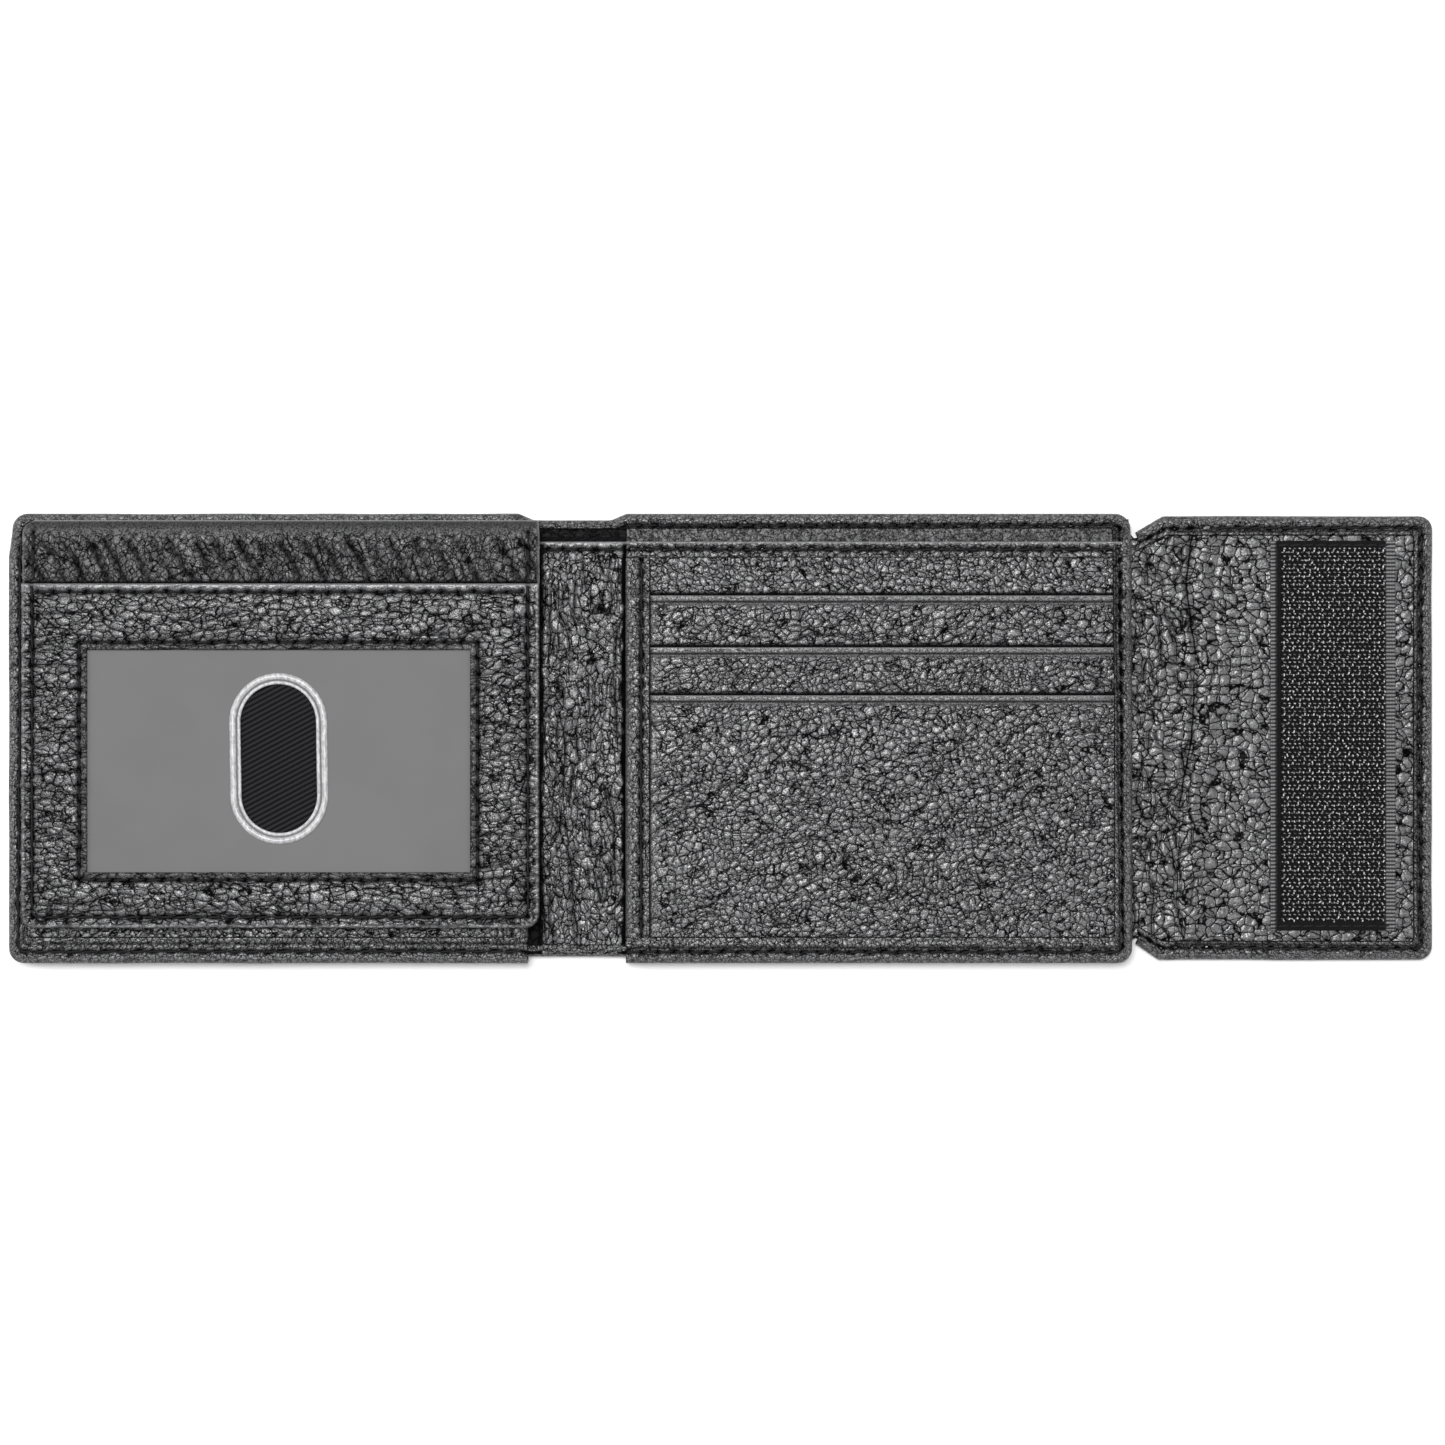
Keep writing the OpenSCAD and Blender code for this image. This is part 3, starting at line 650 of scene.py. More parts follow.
def leather(name, top=(0.13, 0.13, 0.135), rough=0.29, relief=0.21, worn_and_highlit=(0.3, 0.3, 0.31), crisp=0.0):
    """Black pebbled leather: domed pebbles, long creases across them, pores and a fine rough grain."""
    n = Nodes(name)
    rest = n.rest()
    grain = n.attribute("grain", "Vector")
    soft = n.attribute("soft")
    wear = n.attribute("wear")
    dark = n.attribute("dark")
    folds = n.split(n.attribute("folds", "Vector"))

    def cracks(vector, scale, low, high):
        edge = n.new("ShaderNodeTexVoronoi", {"Vector": vector, "Scale": scale, "Randomness": 0.82},
                     feature="DISTANCE_TO_EDGE").outputs["Distance"]
        return n.ramp(edge, low, high), edge

    warp = n.new("ShaderNodeTexNoise", {"Vector": grain, "Scale": 1.3, "Detail": 3.0}).outputs["Color"]
    bent = n.vector("ADD", grain, n.vector("SCALE", n.vector("SUBTRACT", warp, (0.5, 0.5, 0.5)), scale=0.45))
    line, edge = cracks(bent, 1.0, 0.0, 0.07)
    dome = n.math("POWER", n.times(edge, 2.0, clamp=True), 0.62 - 0.3 * crisp)
    fine, fine_edge = cracks(bent, 2.2, 0.0, 0.08)
    slanted = {"Vector": bent, "Rotation": (0, 0, 0.62), "Scale": (0.32, 0.8, 1)}
    turned = n.new("ShaderNodeMapping", slanted).outputs[0]
    across, _ = cracks(turned, 1.0, 0.0, 0.05)
    some = n.ramp(n.noise(grain, 0.45, 1.0), 0.42, 0.6, 0.2, 1.0)
    across = n.less(n.times(some, n.less(across)))
    faint = n.ramp(n.noise(grain, 0.7, 2.0), 0.35, 0.62, 0.35 + 0.5 * crisp, 1.0)
    line = n.less(n.times(faint, n.less(line)))
    split = n.ramp(n.noise(grain, 0.8, 1.0), 0.42, 0.6, 0.2 - 0.2 * crisp, 0.8 - 0.45 * crisp)
    fine = n.less(n.times(split, n.less(fine)))
    bead = n.times(split, n.math("POWER", n.times(fine_edge, 2.0, clamp=True), 0.7))
    speck = n.noise(rest, 3.6, 3.0, 0.75)
    grit = n.noise(rest, 2.2, 1.0)

    tall = n.times(dome, n.math("MULTIPLY_ADD", across, 0.45, 0.55))
    tall = n.times(tall, n.math("MULTIPLY_ADD", faint, 0.5, 0.5))
    tall = n.math("MULTIPLY_ADD", bead, 0.28, tall)
    sharp, sunk = 1.0, 1.0
    for k, half in ((0, 0.2), (1, 0.17), (2, 0.3)):
        d = n.math("ABSOLUTE", folds[k])
        sharp = n.times(sharp, n.ramp(d, 0.1 * half, 1.2 * half, 0.25, 1.0))
        sunk = n.times(sunk, n.ramp(d, 0.0, 4 * half))
    tall = n.math("MULTIPLY_ADD", sunk, 0.9, tall)
    calm = n.less(n.times(soft, 0.85))
    height = n.times(tall, calm)
    height = n.math("MULTIPLY_ADD", speck, 0.07, height)
    height = n.math("MULTIPLY_ADD", grit, 0.16, height)
    n.link(n.bump(height, relief), "Normal")

    # Painted shade and light: the colour goes near black in the cracks, creases and fold lines and lighter
    # towards the dome tops, and the dark value darkens it further, mostly as painted shade.
    shade = n.times(n.math("MULTIPLY_ADD", line, 0.92, 0.08), n.math("MULTIPLY_ADD", across, 0.75, 0.25))
    shade = n.times(shade, n.math("MULTIPLY_ADD", fine, 0.6, 0.4))
    shade = n.times(shade, n.math("MULTIPLY_ADD", dome, 0.6, 0.4))
    shade = n.math("ADD", n.times(shade, calm), n.times(n.less(calm), 0.8))
    shade = n.times(shade, n.ramp(speck, 0.32, 0.68, 0.35 + 0.3 * crisp, 1.4 - 0.2 * crisp))
    shade = n.ramp(n.times(shade, sharp), 0.08, 1.0, 0.0, 1.2)
    lit = n.times(shade, n.less(dark), clamp=True)
    tint = n.mix(lit, (0.0012, 0.0012, 0.0014), top)
    # Painted highlight along rolled edges, partly real edge wear: the wear-and-highlight value turns the
    # colour pale.
    tint = n.mix(n.times(wear, n.math("MULTIPLY_ADD", speck, 0.9, 0.1)), tint, worn_and_highlit)
    n.link(tint, "Base Color")
    # The specular tint darkens with the painted shade and brightens with the painted highlight.
    n.link(n.mix(n.math("ADD", lit, wear, clamp=True), (0.01, 0.01, 0.01), (1, 1, 1)), "Specular Tint")
    n.link(n.math("ADD", n.ramp(lit, 0.0, 1.0, 0.7, rough), n.times(n.math("SUBTRACT", speck, 0.5), 0.25)),
           "Roughness")
    n.link(1.0, "Specular IOR Level")
    return n.mat


def twill(name):
    """Black twill: diagonal ribs of twisted yarn."""
    pitch, angle = 0.9, 28.0
    n = Nodes(name)
    rest = n.rest()
    turned = n.new("ShaderNodeMapping", {"Vector": rest, "Rotation": (0, 0, math.radians(-angle))}).outputs[0]
    wobble = n.vector("ADD", turned, n.vector("SCALE", n.new(
        "ShaderNodeTexNoise", {"Vector": rest, "Scale": 0.8}).outputs["Color"], scale=0.12))
    parts = n.split(wobble)
    rib = n.wave(parts[1], pitch)
    strand = n.math("SINE", n.math("ADD", n.times(parts[0], 2 * math.pi / 0.45), n.times(rib, 0.8)))
    fuzz = n.noise(rest, 7.0, 2.0)
    height = n.math("ADD", n.times(n.ramp(rib, -0.9, 0.6), 1.0), n.times(strand, 0.16))
    height = n.math("ADD", height, n.times(fuzz, 0.3))
    # Painted light on the rib tops and painted shade between them, darkened further where dark is set.
    lit = n.times(n.ramp(height, 0.0, 1.3), n.less(n.attribute("dark")))
    n.link(n.mix(lit, (0.001, 0.001, 0.0012), (0.02, 0.02, 0.023)), "Base Color")
    n.link(n.bump(height, 0.1), "Normal")
    n.link(0.8, "Roughness")
    n.link(0.12, "Specular IOR Level")
    return n.mat


def yarn(name, tint=(0.003, 0.003, 0.0035), light=(0.016, 0.016, 0.018)):
    """Twisted polyester sewing thread."""
    n = Nodes(name)
    rest = n.rest()
    parts = n.split(rest)
    twist = n.wave(n.math("ADD", parts[0], parts[1]), 0.5)
    fuzz = n.noise(rest, 9.0, 2.0)
    height = n.math("MULTIPLY_ADD", fuzz, 0.5, twist)
    # Painted light on the twist's ridges and painted shade between them.
    n.link(n.mix(n.ramp(height, -1.0, 1.4), tint, light), "Base Color")
    n.link(n.bump(height, 0.03), "Normal")
    n.link(0.62, "Roughness")
    n.link(0.25, "Specular IOR Level")
    return n.mat


def vinyl(name):
    """Frosted grey window film, faintly mottled and rippled."""
    n = Nodes(name)
    rest = n.rest()
    cloud = n.noise(rest, 0.06, 2.0)
    frost = n.noise(rest, 9.0, 2.0)
    n.link(n.mix(n.ramp(cloud, 0.3, 0.7), (0.132, 0.132, 0.132), (0.14, 0.14, 0.14)), "Base Color")
    n.link(n.ramp(frost, 0.3, 0.7, 0.56, 0.64), "Roughness")
    n.link(0.2, "Specular IOR Level")
    n.link(n.bump(n.math("MULTIPLY_ADD", cloud, 2.0, n.times(frost, 0.02)), 0.05), "Normal")
    return n.mat


def clear(name):
    """The clear welded bead round the thumb hole, milky where it is thick."""
    n = Nodes(name)
    rest = n.rest()
    streak = n.noise(n.vector("MULTIPLY", rest, (1.2, 0.6, 1.0)), 1.6, 3.0)
    n.link(n.mix(n.ramp(streak, 0.35, 0.65), (0.4, 0.4, 0.41), (0.62, 0.62, 0.63)), "Base Color")
    n.link(0.15, "Transmission Weight")
    n.link(0.3, "Roughness")
    n.link(n.bump(streak, 0.05), "Normal")
    return n.mat


def woven(name):
    """Tight woven nylon tape, with painted shade in its gaps and painted light on its raised threads."""
    n = Nodes(name)
    rest = n.rest()
    dark = n.attribute("dark")
    parts = n.split(rest)
    warp = n.wave(parts[0], 0.55)
    fuzz = n.noise(rest, 5.0, 3.0, 0.6)
    height = n.math("ADD", n.times(warp, 0.06), fuzz)
    # Painted light on the raised threads and painted shade where dark is set.
    lit = n.times(n.less(dark), n.ramp(height, 0.2, 0.9, 0.3, 1.0))
    n.link(n.mix(lit, (0.001, 0.001, 0.0012), (0.34, 0.34, 0.35)), "Base Color")
    n.link(n.mix(lit, (0.01, 0.01, 0.01), (1, 1, 1)), "Specular Tint")
    n.link(n.bump(height, 0.08), "Normal")
    n.link(n.ramp(fuzz, 0.3, 0.7, 0.5, 0.65), "Roughness")
    return n.mat


def bristle(name):
    """Shiny black nylon of the hooks, pale where the tips catch the light."""
    n = Nodes(name)
    rest = n.rest()
    parts = n.split(rest)
    tip = n.ramp(parts[2], FLAP_Z + 0.75, FLAP_Z + 1.4)
    speck = n.noise(rest, 2.4, 2.0)
    lit = n.times(tip, n.ramp(speck, 0.35, 0.65, 0.12, 1.0))
    n.link(n.mix(lit, (0.002, 0.002, 0.0025), (0.72, 0.72, 0.73)), "Base Color")
    n.link(n.mix(tip, (0.02, 0.02, 0.02), (1, 1, 1)), "Specular Tint")
    n.link(n.ramp(speck, 0.3, 0.7, 0.25, 0.4), "Roughness")
    return n.mat


LEATHER = leather("grain_leather")
INNER = leather("inner_leather", (0.06, 0.06, 0.063), 0.4, 0.15)
FLAP = leather("flap_leather", (0.11, 0.11, 0.114), 0.29, 0.2, crisp=0.5)
EDGE = leather("turned_leather", (0.118, 0.118, 0.122), 0.3, 0.17)
TWILL = twill("bill_twill")
THREAD = yarn("black_thread")
VINYL = vinyl("window_vinyl")
CLEAR = clear("clear_bead")
TAPE = woven("woven_tape")
HOOKS = bristle("hook_nylon")
PILE = yarn("loop_nylon", (0.006, 0.006, 0.007), (0.028, 0.028, 0.03))


# ---- Pieces that span a fold: their place is baked into the mesh ----
def bend():
    """A function that bakes a piece's place into its mesh, without bending it."""
    return lambda obj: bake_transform(obj)


bend_left = bend()
bend_centre = bend()
bend_root = bend()
bend_flap = bend()


# ---- Outer cover: four lengths of one leather, parted where no joint is ----
COVER_TOP = [
    (X_LEFT - 1, Y_TOP), (LEFT_X1 - 2, Y_TOP), (LEFT_X1 + 1, GUSSET_TOP),
    (CENTRE_X0 - SPINE_RAMP, GUSSET_TOP), (CENTRE_X0, Y_TOP), (CENTRE_X1 - 3.4, Y_TOP),
    (CENTRE_X1 - 1.6, Y_TOP - 0.6), (FOLD_ROOT - 0.3, NOTCH_Y), (FOLD_ROOT + 0.3, NOTCH_Y),
    (FOLD_ROOT + 5.4, FLAP_Y), (X_RIGHT + 1, FLAP_Y)
]
COVER_FOOT = [
    (X_LEFT - 1, Y_FOOT), (LEFT_X1, Y_FOOT), (LEFT_X1 + 0.6, GUSSET_FOOT),
    (CENTRE_X0 - 0.6, GUSSET_FOOT), (CENTRE_X0, Y_FOOT), (CENTRE_X1 - 3, Y_FOOT),
    (CENTRE_X1 - 1.4, Y_FOOT + 0.7), (FOLD_ROOT - 0.3, -NOTCH_Y), (FOLD_ROOT + 0.3, -NOTCH_Y),
    (FOLD_ROOT + 4.6, -FLAP_Y), (X_RIGHT + 1, -FLAP_Y)
]


def cover_bottom(x, y):
    """The outside of the cover: it dips in under the turned edges and bends in soft waves at the folds."""
    d = np.minimum(np.interp(x, *zip(*COVER_TOP)) - y, y - np.interp(x, *zip(*COVER_FOOT)))
    d = np.minimum(d, np.minimum(x - X_LEFT, X_RIGHT - x))
    tuck = 0.45 * (1 - smooth((d - 2.7) / 0.9))
    waves = 0.0
    for fold, half in ((FOLD_LEFT, 4), (FOLD_CENTRE, 4), (FOLD_ROOT + 3, 6), (FOLD_FLAP, 5)):
        near = valley(x - fold, half)
        waves = waves + 0.16 * near * (fractal(x / 1.7, y / 13, 61) - 0.3)
    return np.maximum(tuck + np.clip(waves, 0, None), 0.0)


def cover_piece(name, x0, x1, nodes, hold):
    """One length of the cover, with a shallow dent where the loop patch lies."""
    outline, edge, y0, y1 = profiled(TUCK, x1)
    patch_lo, patch_hi = box("loop_patch")

    def inside(x, y):
        return np.clip(np.minimum(edge(x, y), x - x0), 0, None) if x0 < X_LEFT + 2 else edge(x, y)

    def bottom(x, y):
        inset = np.minimum(np.minimum(x - patch_lo[0], patch_hi[0] - x),
                           np.minimum(y - patch_lo[1], patch_hi[1] - y))
        return np.maximum(cover_bottom(x, y), 0.62 * smooth((inset + 0.3) / 0.5))

    obj = slab(name, lines(x0, x1, 0.5, rim=0.4), lines(y0, y1, 0.5, rim=0.4), level(COVER_T), bottom,
               LEATHER, inside, outline, roll=0.25, grain={"size": (1.8, 1.8), "seed": 21}, under=True,
               lining_side=0.9, flat=level(0.25))
    settle(obj, nodes, hold)


MID_CENTRE = (CENTRE_X0 + CENTRE_X1) / 2
cover_piece("cover_left", X_LEFT + TUCK, MID_SPINE, ["left_cover"], bend_left)
cover_piece("cover_middle", MID_SPINE, MID_CENTRE, ["spine_cover", "centre_cover"], bend_centre)
cover_piece("cover_right", MID_CENTRE, MID_ROOT, ["flap_spine_cover"], bend_root)
cover_piece("cover_flap", MID_ROOT, X_RIGHT - TUCK, ["flap_cover"], bend_flap)


# ---- Turned edges of the cover ----
def stack_top(y):
    """Height of a turned edge that lies over the stepped card slots."""
    steps = [(-60, HEM_TOP), (8.2, HEM_TOP), (9.4, HEM_TOP - 0.65), (17.6, HEM_TOP - 0.65),
             (18.9, HEM_TOP - 1.35), (27.8, HEM_TOP - 1.35), (29.2, HEM_TOP - 2.1), (36.0, HEM_TOP - 2.2),
             (39.0, HEM_TOP - 2.4), (42.0, TOP_HEM_Z), (60, TOP_HEM_Z)]
    return np.interp(y, *zip(*steps))


def dropped(top, path, x_from):
    """The height of a top hem, which sinks to the spine's from this X on."""
    s = along(path)
    start = s[np.argmin(np.abs(path[:, 0] - x_from) + (path[:, 1] < 0) * 99)]
    return np.where(path[:, 1] > 20, top + (1.9 - TOP_HEM_Z) * smooth((s - start) / 4), top)


def wavering(path, amount, length, seed):
    """The path with its points shifted a little, as hand-cut leather is."""
    s = along(path)
    shift = amount * (noise(s / length, 0 * s, seed) - 0.5)
    return path + np.stack([shift, shift], -1)


def left_edge():
    """Turned edge of the left panel. Returns the seam along its foot and side, and the one along its top."""
    outer = [(LEFT_X1, Y_FOOT), (X_LEFT, Y_FOOT), (X_LEFT, Y_TOP), (LEFT_X1 - 2, Y_TOP),
             (LEFT_X1 + 1, GUSSET_TOP), (MID_SPINE, GUSSET_TOP)]
    inner = [(LEFT_X1, Y_FOOT + HEM_W), (X_LEFT + 3.6, Y_FOOT + HEM_W), (X_LEFT + 3.6, TOP_LIP_Y),
             (LEFT_X1 - 2.6, TOP_LIP_Y), (LEFT_X1 + 0.6, GUSSET_TOP - 1.4), (MID_SPINE, GUSSET_TOP - 1.4)]
    out, inn = paths(outer, inner, [CORNER, CORNER, 2, 2], [0.8, 0.8, 0.6, 0.6])
    x, y = out[:, 0], out[:, 1]
    sloped = np.interp(y, [36, 41.5], [HEM_TOP, TOP_HEM_Z])
    top = dropped(np.where((x < X_LEFT + 12) | (y > Y_TOP - 8), sloped, HEM_TOP), out, LEFT_X1 - 2)
    obj, seam = band("left_turned_edge", wavering(out, 0.12, 9, 71), inn, top, under=2.8, seam=2.4,
                     groove=4.0)
    settle(obj, ["left_bottom_hem", "left_outer_hem", "left_top_hem"], bend_left)
    seam = seam[seam[:, 0] < LEFT_X1 - 1]
    split = np.argmax(seam[:, 1] > WALL_TOP)
    return seam[:split], seam[split:]


def centre_edge():
    """Turned edge of the centre panel. Returns the seam along its foot and the one along its top."""
    right = CENTRE_X1 + 0.1
    outer = [(CENTRE_X0, Y_FOOT), (right, Y_FOOT), (right, Y_TOP), (CENTRE_X0, Y_TOP),
             (CENTRE_X0 - SPINE_RAMP, GUSSET_TOP), (MID_SPINE, GUSSET_TOP)]
    inner = [(CENTRE_X0, Y_FOOT + HEM_W), (right - 3.4, Y_FOOT + HEM_W), (right - 3.4, TOP_LIP_Y),
             (CENTRE_X0 + 0.5, TOP_LIP_Y), (CENTRE_X0 - SPINE_RAMP, GUSSET_TOP - 1.4),
             (MID_SPINE, GUSSET_TOP - 1.4)]
    out, inn = paths(outer, inner, [CORNER, CORNER, 2, 2], [0.8, 0.8, 0.6, 0.6])
    x, y = out[:, 0], out[:, 1]
    top = np.where(x > right - 4, stack_top(y), np.where(y < 0, HEM_TOP, TOP_HEM_Z))
    top = dropped(top, out, CENTRE_X0)
    # beside the closing flap the edge stands on the cover, and elsewhere it goes round it
    free = np.where(x < right - 4, 1.0, smooth((np.abs(y) - (NOTCH_Y - 1.2)) / 1.6))
    obj, seam = band("centre_turned_edge", out, inn, top, low=1.85 * (1 - free), under=1.0 + 1.8 * free,
                     seam=2.3, groove=3.1, seed=33)
    settle(obj, ["centre_bottom_hem", "centre_right_hem", "centre_top_hem"], bend_centre)
    foot = seam[(seam[:, 0] < right - 2.4) & (seam[:, 1] < Y_FOOT + 2.6)]
    head = seam[(seam[:, 1] > TOP_LIP_Y) & (seam[:, 0] > CENTRE_X0 - 1)]
    return foot, head


left_foot_seam, left_head_seam = left_edge()
centre_foot_seam, centre_head_seam = centre_edge()
for seam_name, run, side in (("left_pocket_seam", left_foot_seam, "left"),
                             ("left_cover_seam", left_head_seam, "left"),
                             ("centre_cover_seam", centre_head_seam, "centre")):
    threads(seam_name, [run], f"{side}_panel", through=[run])


def gusset_foot(name, x0, x1, hold):
    """The folded foot of the gusset, below the fold axes."""
    xs = np.arange(x0, x1 + 0.01, 0.4)
    xs[-1] = x1
    out = np.stack([xs, np.full(len(xs), GUSSET_FOOT)], -1)
    obj, _ = band(name, out, out + [0, 2.1], WALL_Z1 + 0.1, under=2.0, lip_t=0.3, puff=0.05, dent=0, seam=1.2,
                  seed=35)
    settle(obj, [], hold)


gusset_foot("gusset_foot_left", LEFT_X1 - 1.5, MID_SPINE, bend_left)
gusset_foot("gusset_foot_centre", MID_SPINE, CENTRE_X0 + 1.5, bend_centre)


# ---- Twill lining of the bill compartment, and the leather facing inside its mouth ----
def cloth(name, corner, far_corner, hold, on, step, nodes=()):
    """A cloth that lies flat on another piece, between two corners of its box."""
    (x0, y0, z0), (x1, y1, z1) = corner, far_corner
    _, edge = rounded(x0, y0, x1, y1, (0, 0, 0, 0))
    obj = slab(name, lines(x0, x1, step, rim=0.1), lines(y0, y1, step, rim=0.1), level(z1), level(z0), TWILL,
               # Painted shade above Y 38, deep in the compartment behind the gusset.
               edge, roll=0.05, dark=lambda x, y: 0.8 * (y > 38.0))
    settle(obj, nodes or [name], hold)


lo, hi = box("left_lining")
cloth("left_lining", (lo[0], lo[1], lo[2] + 0.01), (MID_SPINE, hi[1], hi[2]), bend_left, "cover_left", 0.9)
cloth("centre_lining", (MID_SPINE, lo[1], lo[2] + 0.01), (box("centre_lining")[1][0], hi[1], hi[2]),
      bend_centre, "cover_middle", 0.9, ["centre_lining", "spine_lining"])


def facing(side):
    """Leather inside the mouth of the bill compartment."""
    lo, hi = box(f"{side}_cover_facing")
    _, edge = rounded(lo[0], lo[1], hi[0], hi[1] - 0.8, (0, 0, 0, 0))
    obj = slab(f"{side}_cover_facing", lines(lo[0], hi[0], FINE), lines(lo[1], hi[1] - 0.8, FINE),
               lambda x, y: hi[2] + 0.08 * (fractal(x / 6, y / 6, 81) - 0.5), level(lo[2] + 0.02), INNER,
               edge, roll=0.28, grain={"size": (1.5, 1.5), "seed": 23}, flat=level(0.5), dark=level(0.3))
    settle(obj, [f"{side}_cover_facing"], f"{side}_panel")


facing("left")
facing("centre")


# ---- Gusset ----
def gusset_top_surface(x, y):
    """Leather that has been folded many times: upright wrinkles, deepest in the middle."""
    wander = 1.1 * (fractal(x / 9, y / 16, 91) - 0.5)
    ridge = 1 - np.abs(2 * fractal((x + wander) / 2.1, y / 17, 92, 2) - 1)
    ridge = (ridge - 0.75) * 0.55
    end = smooth((WALL_TOP - y) / 6) * smooth((y - GUSSET_FOOT) / 6)
    sag = -0.25 * valley(x - (LEFT_X1 + CENTRE_X0) / 2 - 1, 7) * end
    return WALL_Z1 + 0.1 + sag + ridge * end * 0.9


def gusset(name, x0, x1, hold, nodes):
    """One half of the gusset. It has painted shade where it dips under the ID flap and the centre panel."""
    foot = GUSSET_FOOT + 0.35
    flap_x = box("id_flap_back")[1][0]
    _, edge = rounded(-400, foot, 400, WALL_TOP, (0, 0, 0, 0))

    def surface(x, y):
        return np.minimum(gusset_top_surface(x, y), FOLD_Z + 0.05)

    # Painted shade in the gap under the centre panel's edge, and the painted shadow of the ID flap's edge.
    def shade(x, y):
        by_panel = smooth((x - CENTRE_X0 + 1.15 - 0.7 * (noise(0 * x, y / 1.3, 8) - 0.3)) / 0.3)
        by_flap = 0.95 * (1 - smooth((x - flap_x - 0.1 - 0.5 * noise(0 * x, y / 1.7, 9)) / 0.4))
        return np.maximum(by_panel, by_flap)

    obj = slab(name, lines(x0, x1, 0.3, rim=0.3), lines(foot, WALL_TOP, FINE, [(WALL_SEAM_Y, 0.7)]), surface,
               level(WALL_Z0), LEATHER, edge, roll=0.36, grain={"size": (1.35, 2.1), "seed": 41}, dark=shade,
               seams=[((LEFT_X1 - 2, WALL_SEAM_Y), (CENTRE_X0 + 3, WALL_SEAM_Y))],
               folds=(lambda x, y: 0.85 * smooth((WALL_TOP - 2 - y) / 5), 0.24,
                      {"size": (2.6, 9), "seed": 92}),
               flat=lambda x, y: 0.7 * (1 - smooth((WALL_TOP - y) / 2.6)),
               # Painted highlight along the rolled top edge, partly real edge wear.
               wear=lambda x, y: 0.8 * valley(np.abs(WALL_TOP - 0.2 - y), 0.25))
    settle(obj, nodes, hold)


def gusset_run(x0, x1):
    """A seam along the gusset's top."""
    return [(x0, WALL_SEAM_Y, GUSSET_SEAM_Z), (x1, WALL_SEAM_Y, GUSSET_SEAM_Z)]


gusset("gusset_left", LEFT_X1 - 3.4, MID_SPINE, bend_left, [])
gusset("gusset_centre", MID_SPINE, CENTRE_X0 + 2.2, bend_centre, ["spine_gusset"])
threads("spine_gusset_seam", [gusset_run(FOLD_LEFT + 0.8, FOLD_CENTRE - 0.8)], "spine")


# ---- Card slots ----
def fold_line(d, at, depth, width=0.22):
    """A pressed line at this distance."""
    return -depth * valley(d - at, width)


def mouth(d):
    """Profile of a turned pocket mouth: d is the distance below its edge."""
    return 0.13 * (1 - smooth((d - 1.0) / 0.35)) + fold_line(d, 1.3, 0.16) + fold_line(d, 1.75, 0.05)


def above_mouth(y, at):
    """Painted shadow on what lies behind a pocket mouth whose edge is at this height."""
    return np.where(y > at - 1, 0.99 * (1 - smooth((y - at - 0.3) / 0.8)), 0.6)


def pocket_leather(side, number, cell, seed, bulge=0.0):
    """One slot's leather, with its turned mouth and the press line beside the gusset."""
    node = f"{side}_slot_{number}_leather"
    lo, hi = box(node)
    above = box(f"{side}_slot_{number + 1}_leather")[1][1] if number < 3 else None
    inner = lo[0] if side == "centre" else hi[0]
    _, edge = rounded(lo[0], lo[1], hi[0], hi[1], (0, 0, 0, 0))
    width, tall = hi[0] - lo[0], hi[1] - lo[1]

    def surface(x, y):
        u = np.clip((x - lo[0]) / width, 0, 1)
        v = np.clip((y - lo[1]) / tall, 0, 1)
        pillow = bulge * (np.sin(math.pi * u) ** 0.5) * np.sin(math.pi * v) ** 0.6
        waves = 0.16 * (fractal(x / 17, y / 11, seed + 2) - 0.5)
        waves = waves + 0.06 * (fractal(x / 4, y / 3.2, seed + 5) - 0.5)
        return hi[2] + mouth(hi[1] - y) + pillow + waves + fold_line(np.abs(x - inner), 4.4, 0.1, 0.4)

    def bottom(x, y):
        return lo[2] + 0.6 * bulge * np.sin(math.pi * np.clip((y - lo[1]) / tall, 0, 1))

    def calm(x, y):
        near = np.abs(x - inner)
        return np.maximum(0.85 * (1 - smooth((hi[1] - y - 1.2) / 1.3)), 0.5 * (1 - smooth((near - 4) / 2)))

    # Painted shade in the two press lines below the mouth and beside the gusset, the painted shadow of the
    # next slot's mouth, and a darker band along this mouth's edge.
    def shadow(x, y):
        near = np.abs(x - inner)
        d = hi[1] - y
        fold = 0.95 * valley(d - 1.3, 0.2) + 0.5 * valley(d - 1.85, 0.14)
        gap = np.maximum(fold, 0.3 * (1 - smooth((d - 1.0) / 0.3)))
        gap = np.maximum(0.95 * (1 - smooth((near - 3.5) / 0.6)), gap)
        return np.maximum(above_mouth(y, above), gap) if above else gap

    obj = slab(node, lines(lo[0], hi[0], FINE), lines(lo[1], hi[1], FINE, [(hi[1] - 1.3, 0.5)]), surface,
               bottom, LEATHER, edge, roll=0.29, grain={"size": cell, "seed": seed, "turn": 0.25},
               flat=calm, dark=shadow,
               folds=(lambda x, y: 0.4 * smooth((hi[1] - 3 - y) / 2), 0.1,
                      {"size": (9, 6), "turn": 0.6, "seed": seed}),
               # Painted highlight along the mouth's rolled edge, partly real edge wear.
               wear=lambda x, y: 0.5 * valley(hi[1] - y - 0.12, 0.16))
    settle(obj, [node], f"{side}_panel")


